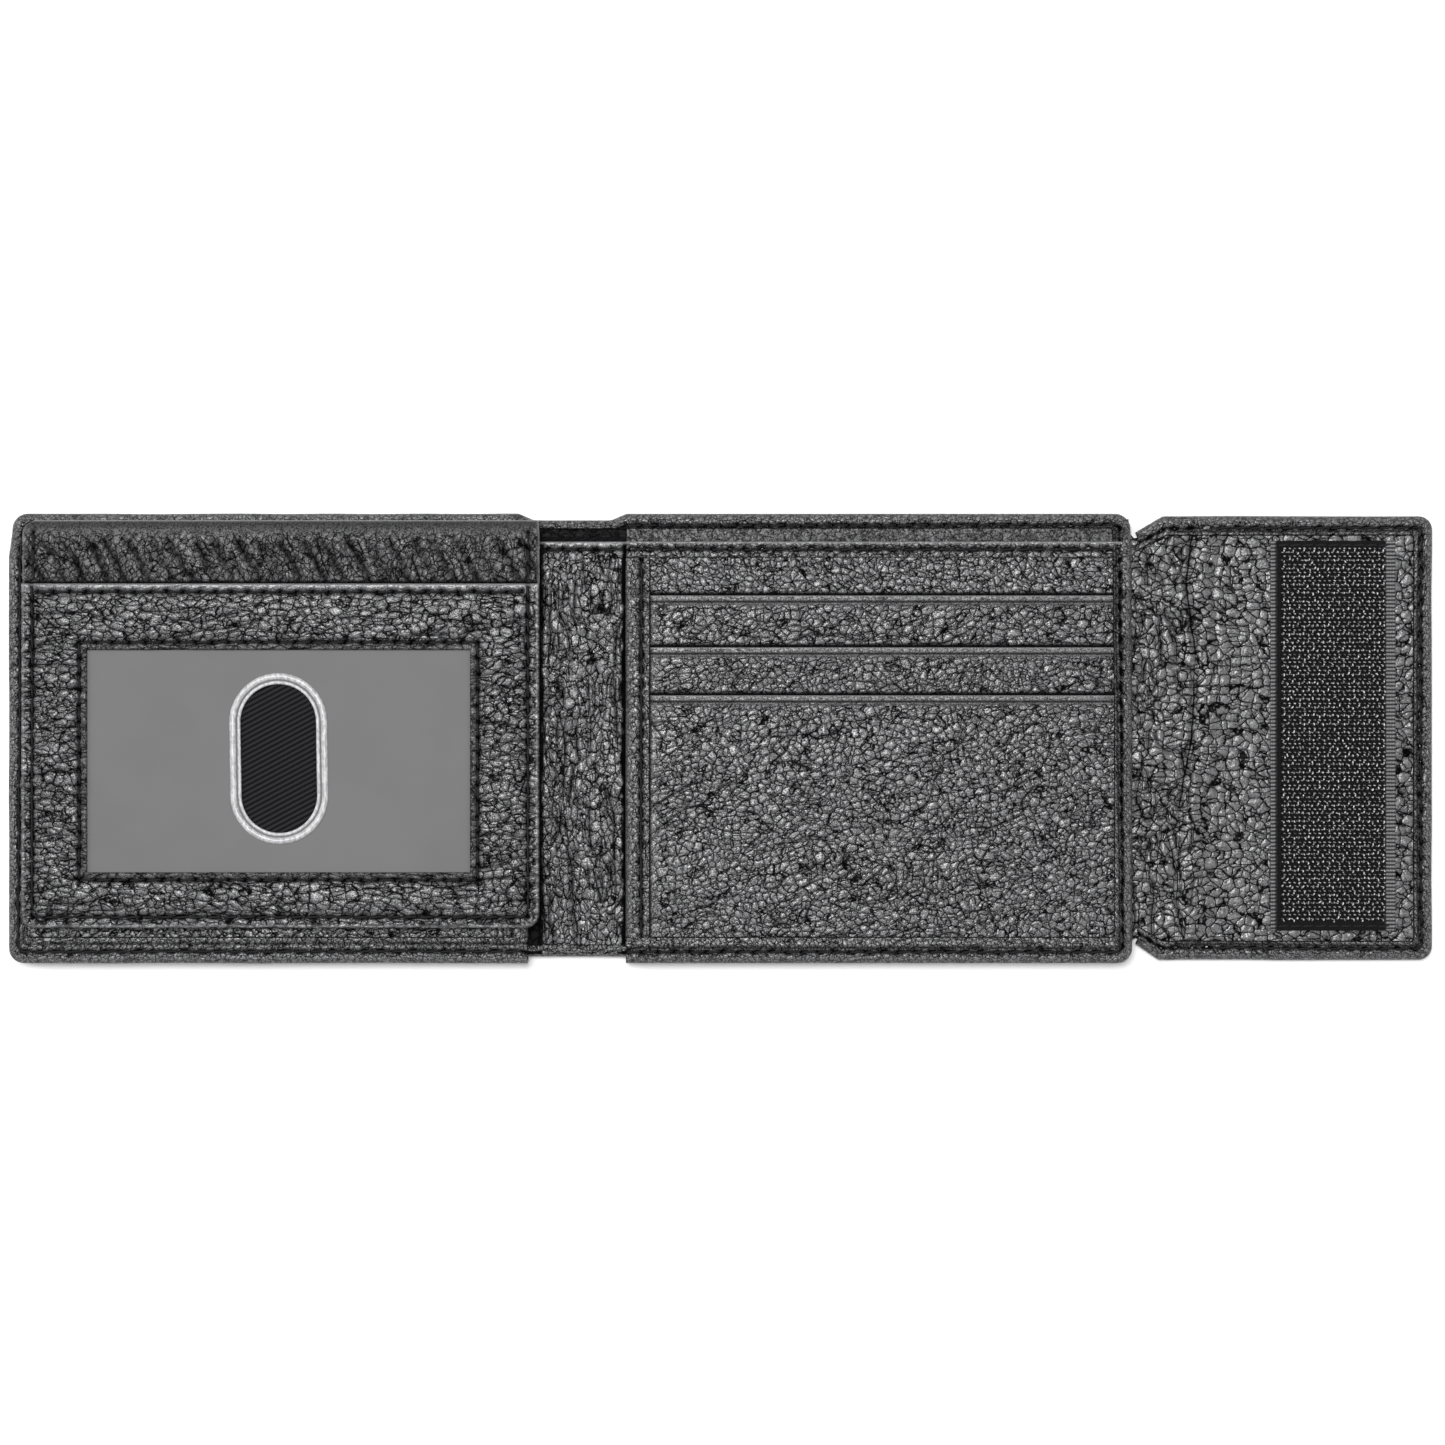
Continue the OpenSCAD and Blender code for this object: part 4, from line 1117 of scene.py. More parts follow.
def front_wall(side):
    """Front wall of the bill compartment."""
    node = f"{side}_front_wall"
    lo, hi = box(node)
    x0 = lo[0] if side == "left" else CENTRE_X0 + 0.4
    x1 = hi[0] if side == "centre" else LEFT_X1 - 0.4
    _, edge = rounded(x0, lo[1], x1, hi[1], (0, 0, 0, 0))
    ys = np.concatenate([np.arange(lo[1], 26, 2.0), lines(26, hi[1], FINE)])
    obj = slab(node, lines(x0, x1, FINE), ys,
               lambda x, y: hi[2] + 0.1 + 0.2 * (fractal(x / 14, y / 9, 95) - 0.5), level(lo[2]), LEATHER,
               edge, roll=0.35, grain={"size": (1.5, 1.3), "seed": 43, "turn": -0.2},
               # Painted shadow of the first slot's mouth.
               dark=lambda x, y: above_mouth(y, box(f"{side}_slot_1_leather")[1][1]))
    settle(obj, [node], f"{side}_panel")


def wall_strip(side):
    """Strip along the top of the front wall. Returns its seam."""
    node = f"{side}_wall_top_strip"
    lo, hi = box(node)
    x0, x1 = lo[0], hi[0] - (0.4 if side == "centre" else 0)
    y_seam = hi[1] - 1.6
    _, edge = rounded(x0, lo[1], x1, hi[1], (0, 0, 0, 0))

    def surface(x, y):
        d = hi[1] - y
        return hi[2] + 0.1 * valley(d - 0.6, 0.5) + fold_line(d, 2.6, 0.12, 0.18)

    obj = slab(node, lines(x0, x1, FINE), lines(lo[1], hi[1], 0.25, [(y_seam, 0.6)]), surface,
               lambda x, y: np.where(y > hi[1] - 0.5, WALL_Z0 + 0.05, lo[2]), EDGE, edge, roll=0.3,
               grain={"size": (1.3, 1.2), "seed": 51}, seams=[((x0 - 2, y_seam), (x1 + 2, y_seam))],
               # Painted highlight along the rolled top edge, partly real edge wear.
               wear=lambda x, y: 0.9 * valley(hi[1] - y - 0.2, 0.26))
    settle(obj, [node], f"{side}_panel")
    return [(x0 + 1, y_seam, hi[2]), (x1 - 3.2, y_seam, hi[2])]


def side_strip(side):
    """Strip that turns over the slots beside the gusset. Returns its seam."""
    node = f"{side}_side_strip"
    lo, hi = box(node)
    edge_x, inner_x = (lo[0], hi[0] + 0.5) if side == "centre" else (hi[0], lo[0] - 0.5)
    ys = np.arange(Y_FOOT + 4.6, box(f"{side}_wall_top_strip")[0][1] + 0.25, 0.35)
    waver = 0.14 * (noise(ys / 8, 0 * ys, 97) - 0.5)
    out = np.stack([edge_x + waver, ys], -1)
    inn = np.stack([np.full(len(ys), inner_x), ys], -1)
    obj, line = band(node, out, inn, stack_top(ys), low=WALL_Z1 - 0.3, under=0.9, seam=3.0, puff=0.1, seed=53,
                     lip_t=0.5)
    settle(obj, [node], f"{side}_panel")
    return line[3:-3]


def card_panel(side):
    """The card slots of one panel. Returns the seams along their top and beside the gusset."""
    front_wall(side)
    for number in (1, 2):
        name = f"{side}_slot_{number}_fabric"
        cloth(name, *box(name), f"{side}_panel", f"{side}_front_wall", 3.0)
    pocket_leather(side, 1, (1.7, 1.45), 45)
    pocket_leather(side, 2, (1.45, 1.25), 47)
    pocket_leather(side, 3, (1.6, 1.35), 49, 0.35)
    return wall_strip(side), side_strip(side)


centre_top_run, centre_side_run = card_panel("centre")
_, left_side_run = card_panel("left")
threads("centre_pocket_seam", [centre_foot_seam, centre_top_run, centre_side_run,
                               gusset_run(FOLD_CENTRE + 0.8, CENTRE_X0 - 0.2)],
        "centre_panel", through=[centre_foot_seam])
threads("left_side_seam", [left_side_run], "left_panel", drawn=False)

# ---- ID flap ----
ID_LO, ID_HI = box("id_flap_back")
FRAME_LO, FRAME_HI = box("id_window_frame")
ID_X0, ID_X1, ID_FOOT, ID_TOP = ID_LO[0], ID_HI[0], ID_LO[1], ID_HI[1]
MOUTH_Y = FRAME_HI[1]
RIM_LO, RIM_HI = box("thumb_hole_rim")
FILM_LO, FILM_HI = box("id_window_film")
FILM_MARGIN = 4.0
WIN = (FILM_LO[0] + FILM_MARGIN, FILM_LO[1] + FILM_MARGIN, FILM_HI[0] - FILM_MARGIN, FILM_HI[1] - FILM_MARGIN)


def id_back():
    """Back leather of the ID flap. It rolls over the top and goes down to its seat on the front wall."""
    mid = (ID_LO[2] + ID_HI[2]) / 2
    leg = box("id_hinge_strip")[0][2] + 0.35
    radius = (mid - leg) / 2
    turn_y = ID_TOP - radius - 0.05
    flat_ys = np.unique(np.concatenate([lines(ID_FOOT, MOUTH_Y - 2, 1.2, rim=0.4),
                                        lines(MOUTH_Y - 2, turn_y, 0.36, rim=0.4)]))
    a = np.linspace(0, math.pi, 26)[1:]
    arc = np.stack([turn_y + radius * np.sin(a), (mid + leg) / 2 + radius * np.cos(a)], -1)
    leg_ys = np.arange(turn_y - 0.5, box("id_hinge_strip")[0][1], -0.6)
    y = np.concatenate([flat_ys, arc[:, 0], leg_ys])
    z = np.concatenate([np.full(len(flat_ys), mid), arc[:, 1], np.full(len(leg_ys), leg)])
    ny = np.concatenate([np.zeros(len(flat_ys)), np.sin(a), np.zeros(len(leg_ys))])
    nz = np.concatenate([np.ones(len(flat_ys)), np.cos(a), -np.ones(len(leg_ys))])
    run = np.concatenate([[0], np.cumsum(np.hypot(np.diff(y), np.diff(z)))])
    us = np.concatenate([arc_lines(0, 1, 1.0, 0.024, rim=0.004), np.arange(0, 1, 0.0038)])
    us = np.unique(np.round(us, 4))
    past = np.where(np.arange(len(y)) < len(flat_ys) + 12, np.clip((y - ID_TOP + 2.45) / 2.4, 0, 1), 1.0)
    tip = 2.4 * (1 - np.sqrt(np.clip(1 - past**2, 0, 1)))
    seat = smooth((run - run[len(flat_ys) + 20]) / 3)
    foot = np.clip((ID_FOOT + 2.6 - y) / 2.6, 0, 1) * (np.arange(len(y)) < len(flat_ys))
    left = ID_X0 + tip + 2.5 * (1 - np.sqrt(1 - foot**2))
    right = ID_X1 - 0.2 * past - 4.2 * seat - 2.8 * (1 - np.sqrt(1 - foot**2))
    gx = left[None, :] + (right - left)[None, :] * us[:, None]
    gy = np.broadcast_to(y, gx.shape)
    gr = np.broadcast_to(run, gx.shape)
    d = np.minimum(np.minimum(gx - left, right - gx), np.minimum(gr, run[-1] - gr))
    roll = 0.33
    half = 0.35 - roll + np.sqrt(np.clip(roll**2 - np.clip(roll - d, 0, roll) ** 2, 0, None))
    above = smooth((gy - MOUTH_Y + 1) / 2) * (gr <= run[len(flat_ys) - 1] + 0.6)
    seen = smooth((gy - MOUTH_Y + 1) / 2) * (gr <= run[len(flat_ys) + 14])
    slant = (gx + 0.55 * gy) + 2.2 * (fractal(gx / 9, gy / 7, 101) - 0.5)
    ribs = np.sin(slant * 2 * math.pi / 4.3) * 0.5 + np.sin(slant * 2 * math.pi / 2.7 + 1) * 0.25
    fade = smooth((ID_TOP - 2.2 - gy) / 2.5) * (0.4 + 0.9 * fractal(gx / 16, gy / 9, 103))
    near_top = smooth((gy - (ID_TOP - 3.6)) / 2.0) + 0.5 * smooth((gy - (ID_TOP - 1.8)) / 0.6)
    lift = above * 0.42 * ribs * fade
    seams = [((x, MOUTH_Y), (x, ID_TOP - 2)) for x in (ID_X0 + 2.2, ID_X1 - 2.2)]
    dent, dark = stitched(gx, gy, seams)
    lift = lift - above * dent
    one, two = fold_lines(gx, gy, above * smooth((ID_TOP - 2.6 - gy) / 2.0), (2.8, 9.0), 0.5, 131)
    lift = lift - 0.2 * np.maximum(valley(one, 0.6), valley(two, 0.6))
    # Painted shade in the stitch holes, and the painted shadow of the window frame's mouth on the back
    # leather.
    dark = np.maximum(above * dark, above_mouth(gy, MOUTH_Y) * (gr <= run[len(flat_ys)]))
    # Darker on the band seen above the mouth and near the top, and painted shade in the valleys between the
    # slanted ribs.
    dark = np.maximum(dark, 0.32 * seen + 0.25 * near_top + 0.5 * above * fade * smooth(0.1 - 1.6 * ribs))
    folds = np.stack([one, two, FAR + 0 * one], -1).reshape(-1, 3)
    folds = np.concatenate([folds, np.full(folds.shape, FAR)])
    upper = np.stack([gx, gy + ny * half, z + nz * half + np.where(nz > 0.7, lift, 0)], -1)
    lower = np.stack([gx, gy - ny * half, z - nz * half], -1)
    nx, nr = gx.shape
    count = nx * nr
    idx = np.arange(count).reshape(nx, nr)
    corners = idx[:-1, :-1], idx[1:, :-1], idx[1:, 1:], idx[:-1, 1:]
    face = np.stack(corners, -1).reshape(-1, 4)
    quads = [face, face[:, [0, 3, 2, 1]] + count]
    loop = np.concatenate([idx[:, 0], idx[-1, 1:], idx[-2::-1, -1], idx[0, -2:0:-1]])
    nxt = np.roll(loop, -1)
    quads.append(np.stack([loop, loop + count, nxt + count, nxt], -1))
    verts = np.concatenate([upper.reshape(-1, 3), lower.reshape(-1, 3)])
    soft = np.concatenate([np.clip(0.8 * near_top, 0.1, 0.9).ravel(), np.full(count, 0.2)])
    rim = np.minimum(gx - left, right - gx)
    # Painted highlight along the rolled top and the side edges, partly real edge wear.
    wear = np.maximum(0.9 * valley(gr - run[len(flat_ys) + 9], 0.3),
                      0.8 * valley(rim - 0.12, 0.2) * (gy > MOUTH_Y))
    wear = np.concatenate([wear.ravel(), np.zeros(count)])
    place = np.concatenate([grain_at(gx, gr, (1.2, 1.6), -0.5, 55).reshape(-1, 3),
                            grain_at(gx, gr, (1.7, 1.7), 0.2, 57).reshape(-1, 3)])
    obj = make("id_flap_back", verts, np.concatenate(quads), LEATHER, place, soft=soft, wear=wear,
               folds=folds, dark=np.concatenate([dark.ravel(), np.zeros(count)]))
    settle(obj, ["id_flap_back", "id_hinge_strip"],
           lambda piece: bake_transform(piece))


id_back()


def window_distance(x, y):
    """Distance outside the window's opening."""
    qx = np.maximum(WIN[0] - x, x - WIN[2])
    qy = np.maximum(WIN[1] - y, y - WIN[3])
    return np.where((qx > 0) & (qy > 0), np.hypot(qx, qy), np.maximum(qx, qy))


def exactly(values, at):
    """Grid lines with one exactly here, and none close beside it."""
    return np.unique(np.concatenate([values[np.abs(values - at) > 0.06], [at]]))


def id_front():
    """Leather frame round the window, and the ID flap's seams."""
    outline, edge = rounded(ID_X0, ID_FOOT, ID_X1, MOUTH_Y, (2.5, 3.0, 0, 0))
    out = 1.5
    w0, w1, w2, w3 = WIN[0] - out, WIN[1] - out, WIN[2] + out, WIN[3] + out
    sx0, sx1, sy = ID_X0 + 2.2, ID_X1 - 2.2, ID_FOOT + 2.2
    mouth_seam = MOUTH_Y - 1.7
    seams = [((sx0, sy), (sx1, sy)), ((sx0, sy), (sx0, MOUTH_Y)), ((sx1, sy), (sx1, MOUTH_Y)),
             ((w0, w1), (w2, w1)), ((w2, w1), (w2, w3)), ((w0, w3), (w2, w3)), ((w0, w1), (w0, w3)),
             ((sx0 + 1, mouth_seam), (sx1 - 1, mouth_seam))]

    def surface(x, y):
        d = edge(x, y)
        w = window_distance(x, y)
        puff = 0.2 * smooth(d / 3.5) + 0.25 * smooth((w - 1.4) / 3) * smooth((d - 2.2) / 3)
        lip = 0.06 * valley(MOUTH_Y - y - 0.6, 0.6)
        stretch = np.where(x < WIN[0], 1.0, 0.35)
        waves = 0.16 * stretch * (fractal(x / 7, y / 2.4, 105) - 0.5) * smooth((w - 1.2) / 2)
        return FRAME_HI[2] - 0.2 + puff + lip + waves

    def bottom(x, y):
        d = np.minimum(np.minimum(x - ID_X0, ID_X1 - x), y - ID_FOOT)
        return np.where(d < 2.7, ID_HI[2] + 0.03, FRAME_LO[2] + 0.02)

    def inside(x, y):
        return np.minimum(edge(x, y), np.clip(window_distance(x, y), 0, None) + 0.02)

    def calm(x, y):
        by_window = 1 - smooth((window_distance(x, y) - 0.8) / 1.2)
        return np.maximum(0.8 * (1 - smooth((MOUTH_Y - y - 1.2) / 1.0)), 0.3 * by_window)

    fx = [(v, 0.7) for v in (sx0, sx1, w0, w2)] + [(WIN[0], 0.5), (WIN[2], 0.5)]
    fy = [(v, 0.7) for v in (sy, w1, w3, mouth_seam)] + [(WIN[1], 0.5), (WIN[3], 0.5)]
    xs = arc_lines(ID_X0, ID_X1, 0.37, 2.6, fx)
    ys = lines(ID_FOOT, MOUTH_Y, 0.37, fy)
    for k in (0, 2):
        xs = exactly(xs, WIN[k])
        ys = exactly(ys, WIN[k + 1])
    obj = slab("id_window_frame", xs, ys, surface, bottom, LEATHER, inside, outline,
               hole=lambda x, y: window_distance(x, y) < 0, roll=0.42,
               grain={"size": (2.1, 1.45), "seed": 59}, flat=calm, seams=seams,
               folds=(lambda x, y: np.where(x < WIN[0], 0.8, 0.55) * smooth((MOUTH_Y - 3 - y) / 3), 0.2,
                      {"size": (8, 2.6), "turn": 0.12, "seed": 137}),
               dark=lambda x, y: 0.12 + 0.3 * (1 - smooth((window_distance(x, y) - 1.0) / 0.6)),
               # Painted highlight along the mouth and the rolled outer edge, partly real edge wear.
               wear=lambda x, y: np.maximum(0.6 * valley(MOUTH_Y - y - 0.25, 0.3),
                                            0.45 * valley(edge(x, y) - 0.4, 0.25)))
    settle(obj, ["id_window_frame", "id_flap_edge"], "id_flap")
    z = FRAME_HI[2] - 0.02
    back_z = ID_HI[2] + 0.02
    foot = fillet([(sx0, MOUTH_Y - 0.3), (sx0, sy), (sx1, sy), (sx1, MOUTH_Y - 0.3)], [1.6, 1.6],
                  [120, 6, 200, 6, 120])
    foot = np.concatenate([foot, np.full((len(foot), 1), z)], 1)
    sides = [[(x, MOUTH_Y + 0.6, back_z), (x, ID_TOP - 2.2, back_z)] for x in (sx0, sx1)]
    threads("id_flap_seam", [foot, *sides], "id_flap")
    corners = [(w0, w1, z), (w2, w1, z), (w2, w3, z), (w0, w3, z), (w0, w1, z)]
    threads("id_window_seam", [list(pair) for pair in zip(corners, corners[1:])], "id_flap")
    threads("id_pocket_mouth_seam", [[(sx0 + 1, mouth_seam, z - 0.05), (sx1 - 1, mouth_seam, z - 0.05)]],
            "id_flap")


id_front()
lo, hi = box("id_flap_lining")
cloth("id_flap_lining", (lo[0] + 0.1, lo[1] + 0.1, lo[2] + 0.02), (hi[0] - 0.1, hi[1], hi[2] + 0.1),
      "id_flap", "id_flap_back", 0.8)

THUMB_X, THUMB_Y = (RIM_LO[0] + RIM_HI[0]) / 2, (RIM_LO[1] + RIM_HI[1]) / 2
LEAN = math.radians(0.9)


def oval(inset, n=144):
    """Points round the thumb hole's rim, inset from its outside, and leaning a little."""
    w, h = RIM_HI[0] - RIM_LO[0] - 2 * inset, RIM_HI[1] - RIM_LO[1] - 2 * inset
    r, half = w / 2, (h - w) / 2
    pts = []
    straight, round_ = n // 6, n // 3
    for k in range(round_):
        a = math.pi * k / round_
        pts.append((r * math.cos(a), half + r * math.sin(a)))
    for k in range(straight):
        pts.append((-r, half - 2 * half * k / straight))
    for k in range(round_):
        a = math.pi + math.pi * k / round_
        pts.append((r * math.cos(a), -half + r * math.sin(a)))
    for k in range(straight):
        pts.append((r, -half + 2 * half * k / straight))
    pts = np.array(pts)
    c, s = math.cos(LEAN), math.sin(LEAN)
    return np.stack([THUMB_X + pts[:, 0] * c - pts[:, 1] * s, THUMB_Y + pts[:, 0] * s + pts[:, 1] * c], -1)


def closed_rings(name, rings, material):
    """A tube round a closed path: rings is (points along the path, points of the section, 3)."""
    n, m = rings.shape[:2]
    i, k = np.arange(n)[:, None], np.arange(m)[None, :]
    j, q = (i + 1) % n, (k + 1) % m
    quads = np.stack([i * m + k, j * m + k, j * m + q, i * m + q], -1).reshape(-1, 4)
    return make(name, rings.reshape(-1, 3), quads[:, ::-1], material)


def id_window():
    """Vinyl film, open in the middle, and the two beads of the clear rim round the thumb hole."""
    rows = []
    cx, cy = THUMB_X, THUMB_Y
    lo, hi = FILM_LO, FILM_HI
    for p in oval(2.05):
        dx, dy = p[0] - cx, p[1] - cy
        t = min((hi[0] - cx if dx > 0 else cx - lo[0]) / max(abs(dx), 1e-6),
                (hi[1] - cy if dy > 0 else cy - lo[1]) / max(abs(dy), 1e-6))
        end = np.array([cx + dx * t, cy + dy * t])
        f = np.linspace(0, 1, 26)[:, None] ** 1.25
        rows.append(p + (end - p) * f)
    flat = np.array(rows)
    ripple = 0.05 * (fractal(flat[..., 0] / 19, flat[..., 1] / 13, 107) - 0.5)
    upper = np.concatenate([flat, (FILM_HI[2] + ripple)[..., None]], -1)
    lower = np.concatenate([flat, (FILM_LO[2] + ripple)[..., None]], -1)
    film = closed_rings("id_window_film", np.concatenate([upper, lower[:, ::-1]], 1), VINYL)
    settle(film, ["id_window_film"], "id_flap")

    beads = []
    for inset, size in ((0.68, 0.64), (1.92, 0.34)):
        path = oval(inset)
        tangent = np.roll(path, -1, 0) - np.roll(path, 1, 0)
        tangent /= np.linalg.norm(tangent, axis=1)[:, None]
        out = np.stack([tangent[:, 1], -tangent[:, 0]], -1)
        s = along(path)
        size_s = size * (1 + 0.12 * (noise(s / 7, 0 * s + inset, 109) - 0.5))
        ring = []
        for k in range(12):
            a = 2 * math.pi * k / 12
            flat_p = path + out * (size_s * math.cos(a))[:, None]
            high = FILM_HI[2] - 0.02 + 0.75 * size_s * math.sin(a)
            ring.append(np.concatenate([flat_p, high[:, None]], 1))
        beads.append(np.stack(ring, 1))
    verts, quads, base = [], [], 0
    for b in beads:
        n, m2 = b.shape[:2]
        i, k = np.arange(n)[:, None], np.arange(m2)[None, :]
        j, q = (i + 1) % n, (k + 1) % m2
        face = np.stack([j * m2 + k, j * m2 + q, i * m2 + q, i * m2 + k], -1)
        quads.append(face.reshape(-1, 4) + base)
        verts.append(b.reshape(-1, 3))
        base += n * m2
    rim = make("thumb_hole_rim", np.concatenate(verts), np.concatenate(quads), CLEAR)
    settle(rim, ["thumb_hole_rim"], "id_flap")


id_window()


# ---- Closing flap ----
def flap_surface(x, y):
    """Inner leather of the flap: upright wrinkles by the root, one long crease, and calm leather beyond."""
    near = smooth((FOLD_FLAP + 3.5 - x) / 9)
    wander = 4.0 * (fractal(x / 9, y / 9, 111) - 0.5)
    ridge = 1 - np.abs(2 * fractal((x + wander) / 2.2, y / 8, 112, 2) - 1)
    one, two = main_creases(x, y)
    swell = 0.35 * valley(one - 2.6, 3.0)
    waves = near * 0.35 * (ridge - 0.7) + 0.3 * (fractal(x / 12, y / 12, 113) - 0.5)
    return (FLAP_Z + waves + swell - 0.34 * valley(one, 0.5) * smooth((y + 34) / 20)
            - 0.2 * valley(two, 0.45) * smooth((y - 2) / 12))


def main_creases(x, y):
    """Distance across the flap's one long crease, and across the short one beside it."""
    bow = 9.5 + 1.8 * np.sin((y + 12) / 17) + 0.6 * np.sin(y / 6.5)
    bow = bow + np.clip((y - 24) / 9, 0, None) ** 2 * 0.6
    bow = bow + 1.3 * (fractal(y / 5, 0 * y, 119) - 0.5)
    one = x - FOLD_ROOT - bow
    return one, one - 3.0 - 0.08 * y


def flap_facing(name, x0, x1, nodes, hold):
    """One length of the flap's inner leather."""
    outline, edge, _, _ = profiled(1.0, x1)

    def surface(x, y):
        z = flap_surface(x, y)
        return np.where(x < FOLD_ROOT + 2, np.minimum(z, FLAP_Z + 0.35), z)

    def crease(x, y):
        strength = smooth((y + 34) / 20) * smooth(fractal(y / 4, 0 * y, 118) * 2.6 - 0.6)
        return main_creases(x, y)[0] / np.maximum(strength, 0.05)

    obj = slab(name, lines(x0, x1, FINE, rim=0.3), lines(-FLAP_Y + 1, FLAP_Y - 1, FINE, rim=0.3), surface,
               level(COVER_T + 0.02), FLAP, edge, outline, roll=0.35, grain={"size": (2.0, 1.85), "seed": 61},
               long_crease=crease,
               folds=(lambda x, y: 0.05 + 0.95 * smooth((FOLD_FLAP - 1 - x) / 7), 0.28,
                      {"size": (3.4, 6.0), "seed": 117}))
    settle(obj, nodes, hold)


flap_facing("flap_root_facing", CENTRE_X1 - 1.0, MID_ROOT, ["flap_spine_facing"], bend_root)
flap_facing("flap_facing", MID_ROOT, X_RIGHT - 1.0, ["flap_facing"], bend_flap)


def flap_edges():
    """Turned edges of the flap and its root, and the flap's seam."""
    w = 3.5
    for sign, node in ((1, "flap_spine_top_hem"), (-1, "flap_spine_bottom_hem")):
        lean = 5.4 if sign > 0 else 4.6
        outer = [(FOLD_ROOT, sign * (NOTCH_Y + 0.1)), (FOLD_ROOT + lean, sign * FLAP_Y),
                 (MID_ROOT, sign * FLAP_Y)]
        inner = [(FOLD_ROOT, sign * (NOTCH_Y - w + 0.1)), (FOLD_ROOT + lean + 0.6, sign * (FLAP_Y - w)),
                 (MID_ROOT, sign * (FLAP_Y - w))]
        out, inn = paths(outer, inner, [1.2], [1.2], 0.3)
        obj, _ = band(node.replace("spine", "root"), out, inn, FLAP_HEM_Z, under=2.8, seam=2.3, seed=37)
        settle(obj, [node], bend_root)
    outer = [(MID_ROOT, FLAP_Y), (X_RIGHT, FLAP_Y), (X_RIGHT, -FLAP_Y), (MID_ROOT, -FLAP_Y)]
    inner = [(MID_ROOT, FLAP_Y - w), (X_RIGHT - w, FLAP_Y - w), (X_RIGHT - w, w - FLAP_Y),
             (MID_ROOT, w - FLAP_Y)]
    out, inn = paths(outer, inner, [2.6, 2.6], [0.8, 0.8])
    obj, line = band("flap_turned_edge", wavering(out, 0.16, 11, 73), inn, FLAP_HEM_Z, under=2.8, seam=2.35,
                     groove=3.0, seed=39)
    settle(obj, ["flap_hem"], bend_flap)
    line = line[line[:, 0] > FOLD_FLAP + 0.4]
    threads("flap_seam", [line], "closing_flap", through=[line])


flap_edges()


# ---- Hook tape and loop patch ----
def tubes(name, curves, rad, sides, material):
    """Short bent fibres as one piece."""
    verts, quads, polys = [], [], []
    for path in curves:
        path = np.array(path)
        base = len(verts)
        way = np.gradient(path, axis=0)
        way /= np.linalg.norm(way, axis=1)[:, None]
        ref = np.array([1.0, 0, 0]) if abs(way[0][0]) < 0.7 else np.array([0, 0, 1.0])
        for r, p in enumerate(path):
            a = np.cross(way[r], ref)
            a /= max(np.linalg.norm(a), 1e-6)
            b = np.cross(way[r], a)
            for q in range(sides):
                t = 2 * math.pi * q / sides
                verts.append(p + rad * (a * math.cos(t) + b * math.sin(t)))
        for r in range(len(path) - 1):
            for q in range(sides):
                k = base + r * sides
                quads.append([k + q, k + sides + q, k + sides + (q + 1) % sides, k + (q + 1) % sides])
        polys.append([base + q for q in range(sides)])
        polys.append([base + (len(path) - 1) * sides + q for q in range(sides)][::-1])
    return make(name, verts, quads, material, polys=polys)


TAPE_RIB = 0.74
TAPE_SEAM = {"rad": 0.2, "pitch": 2.4}


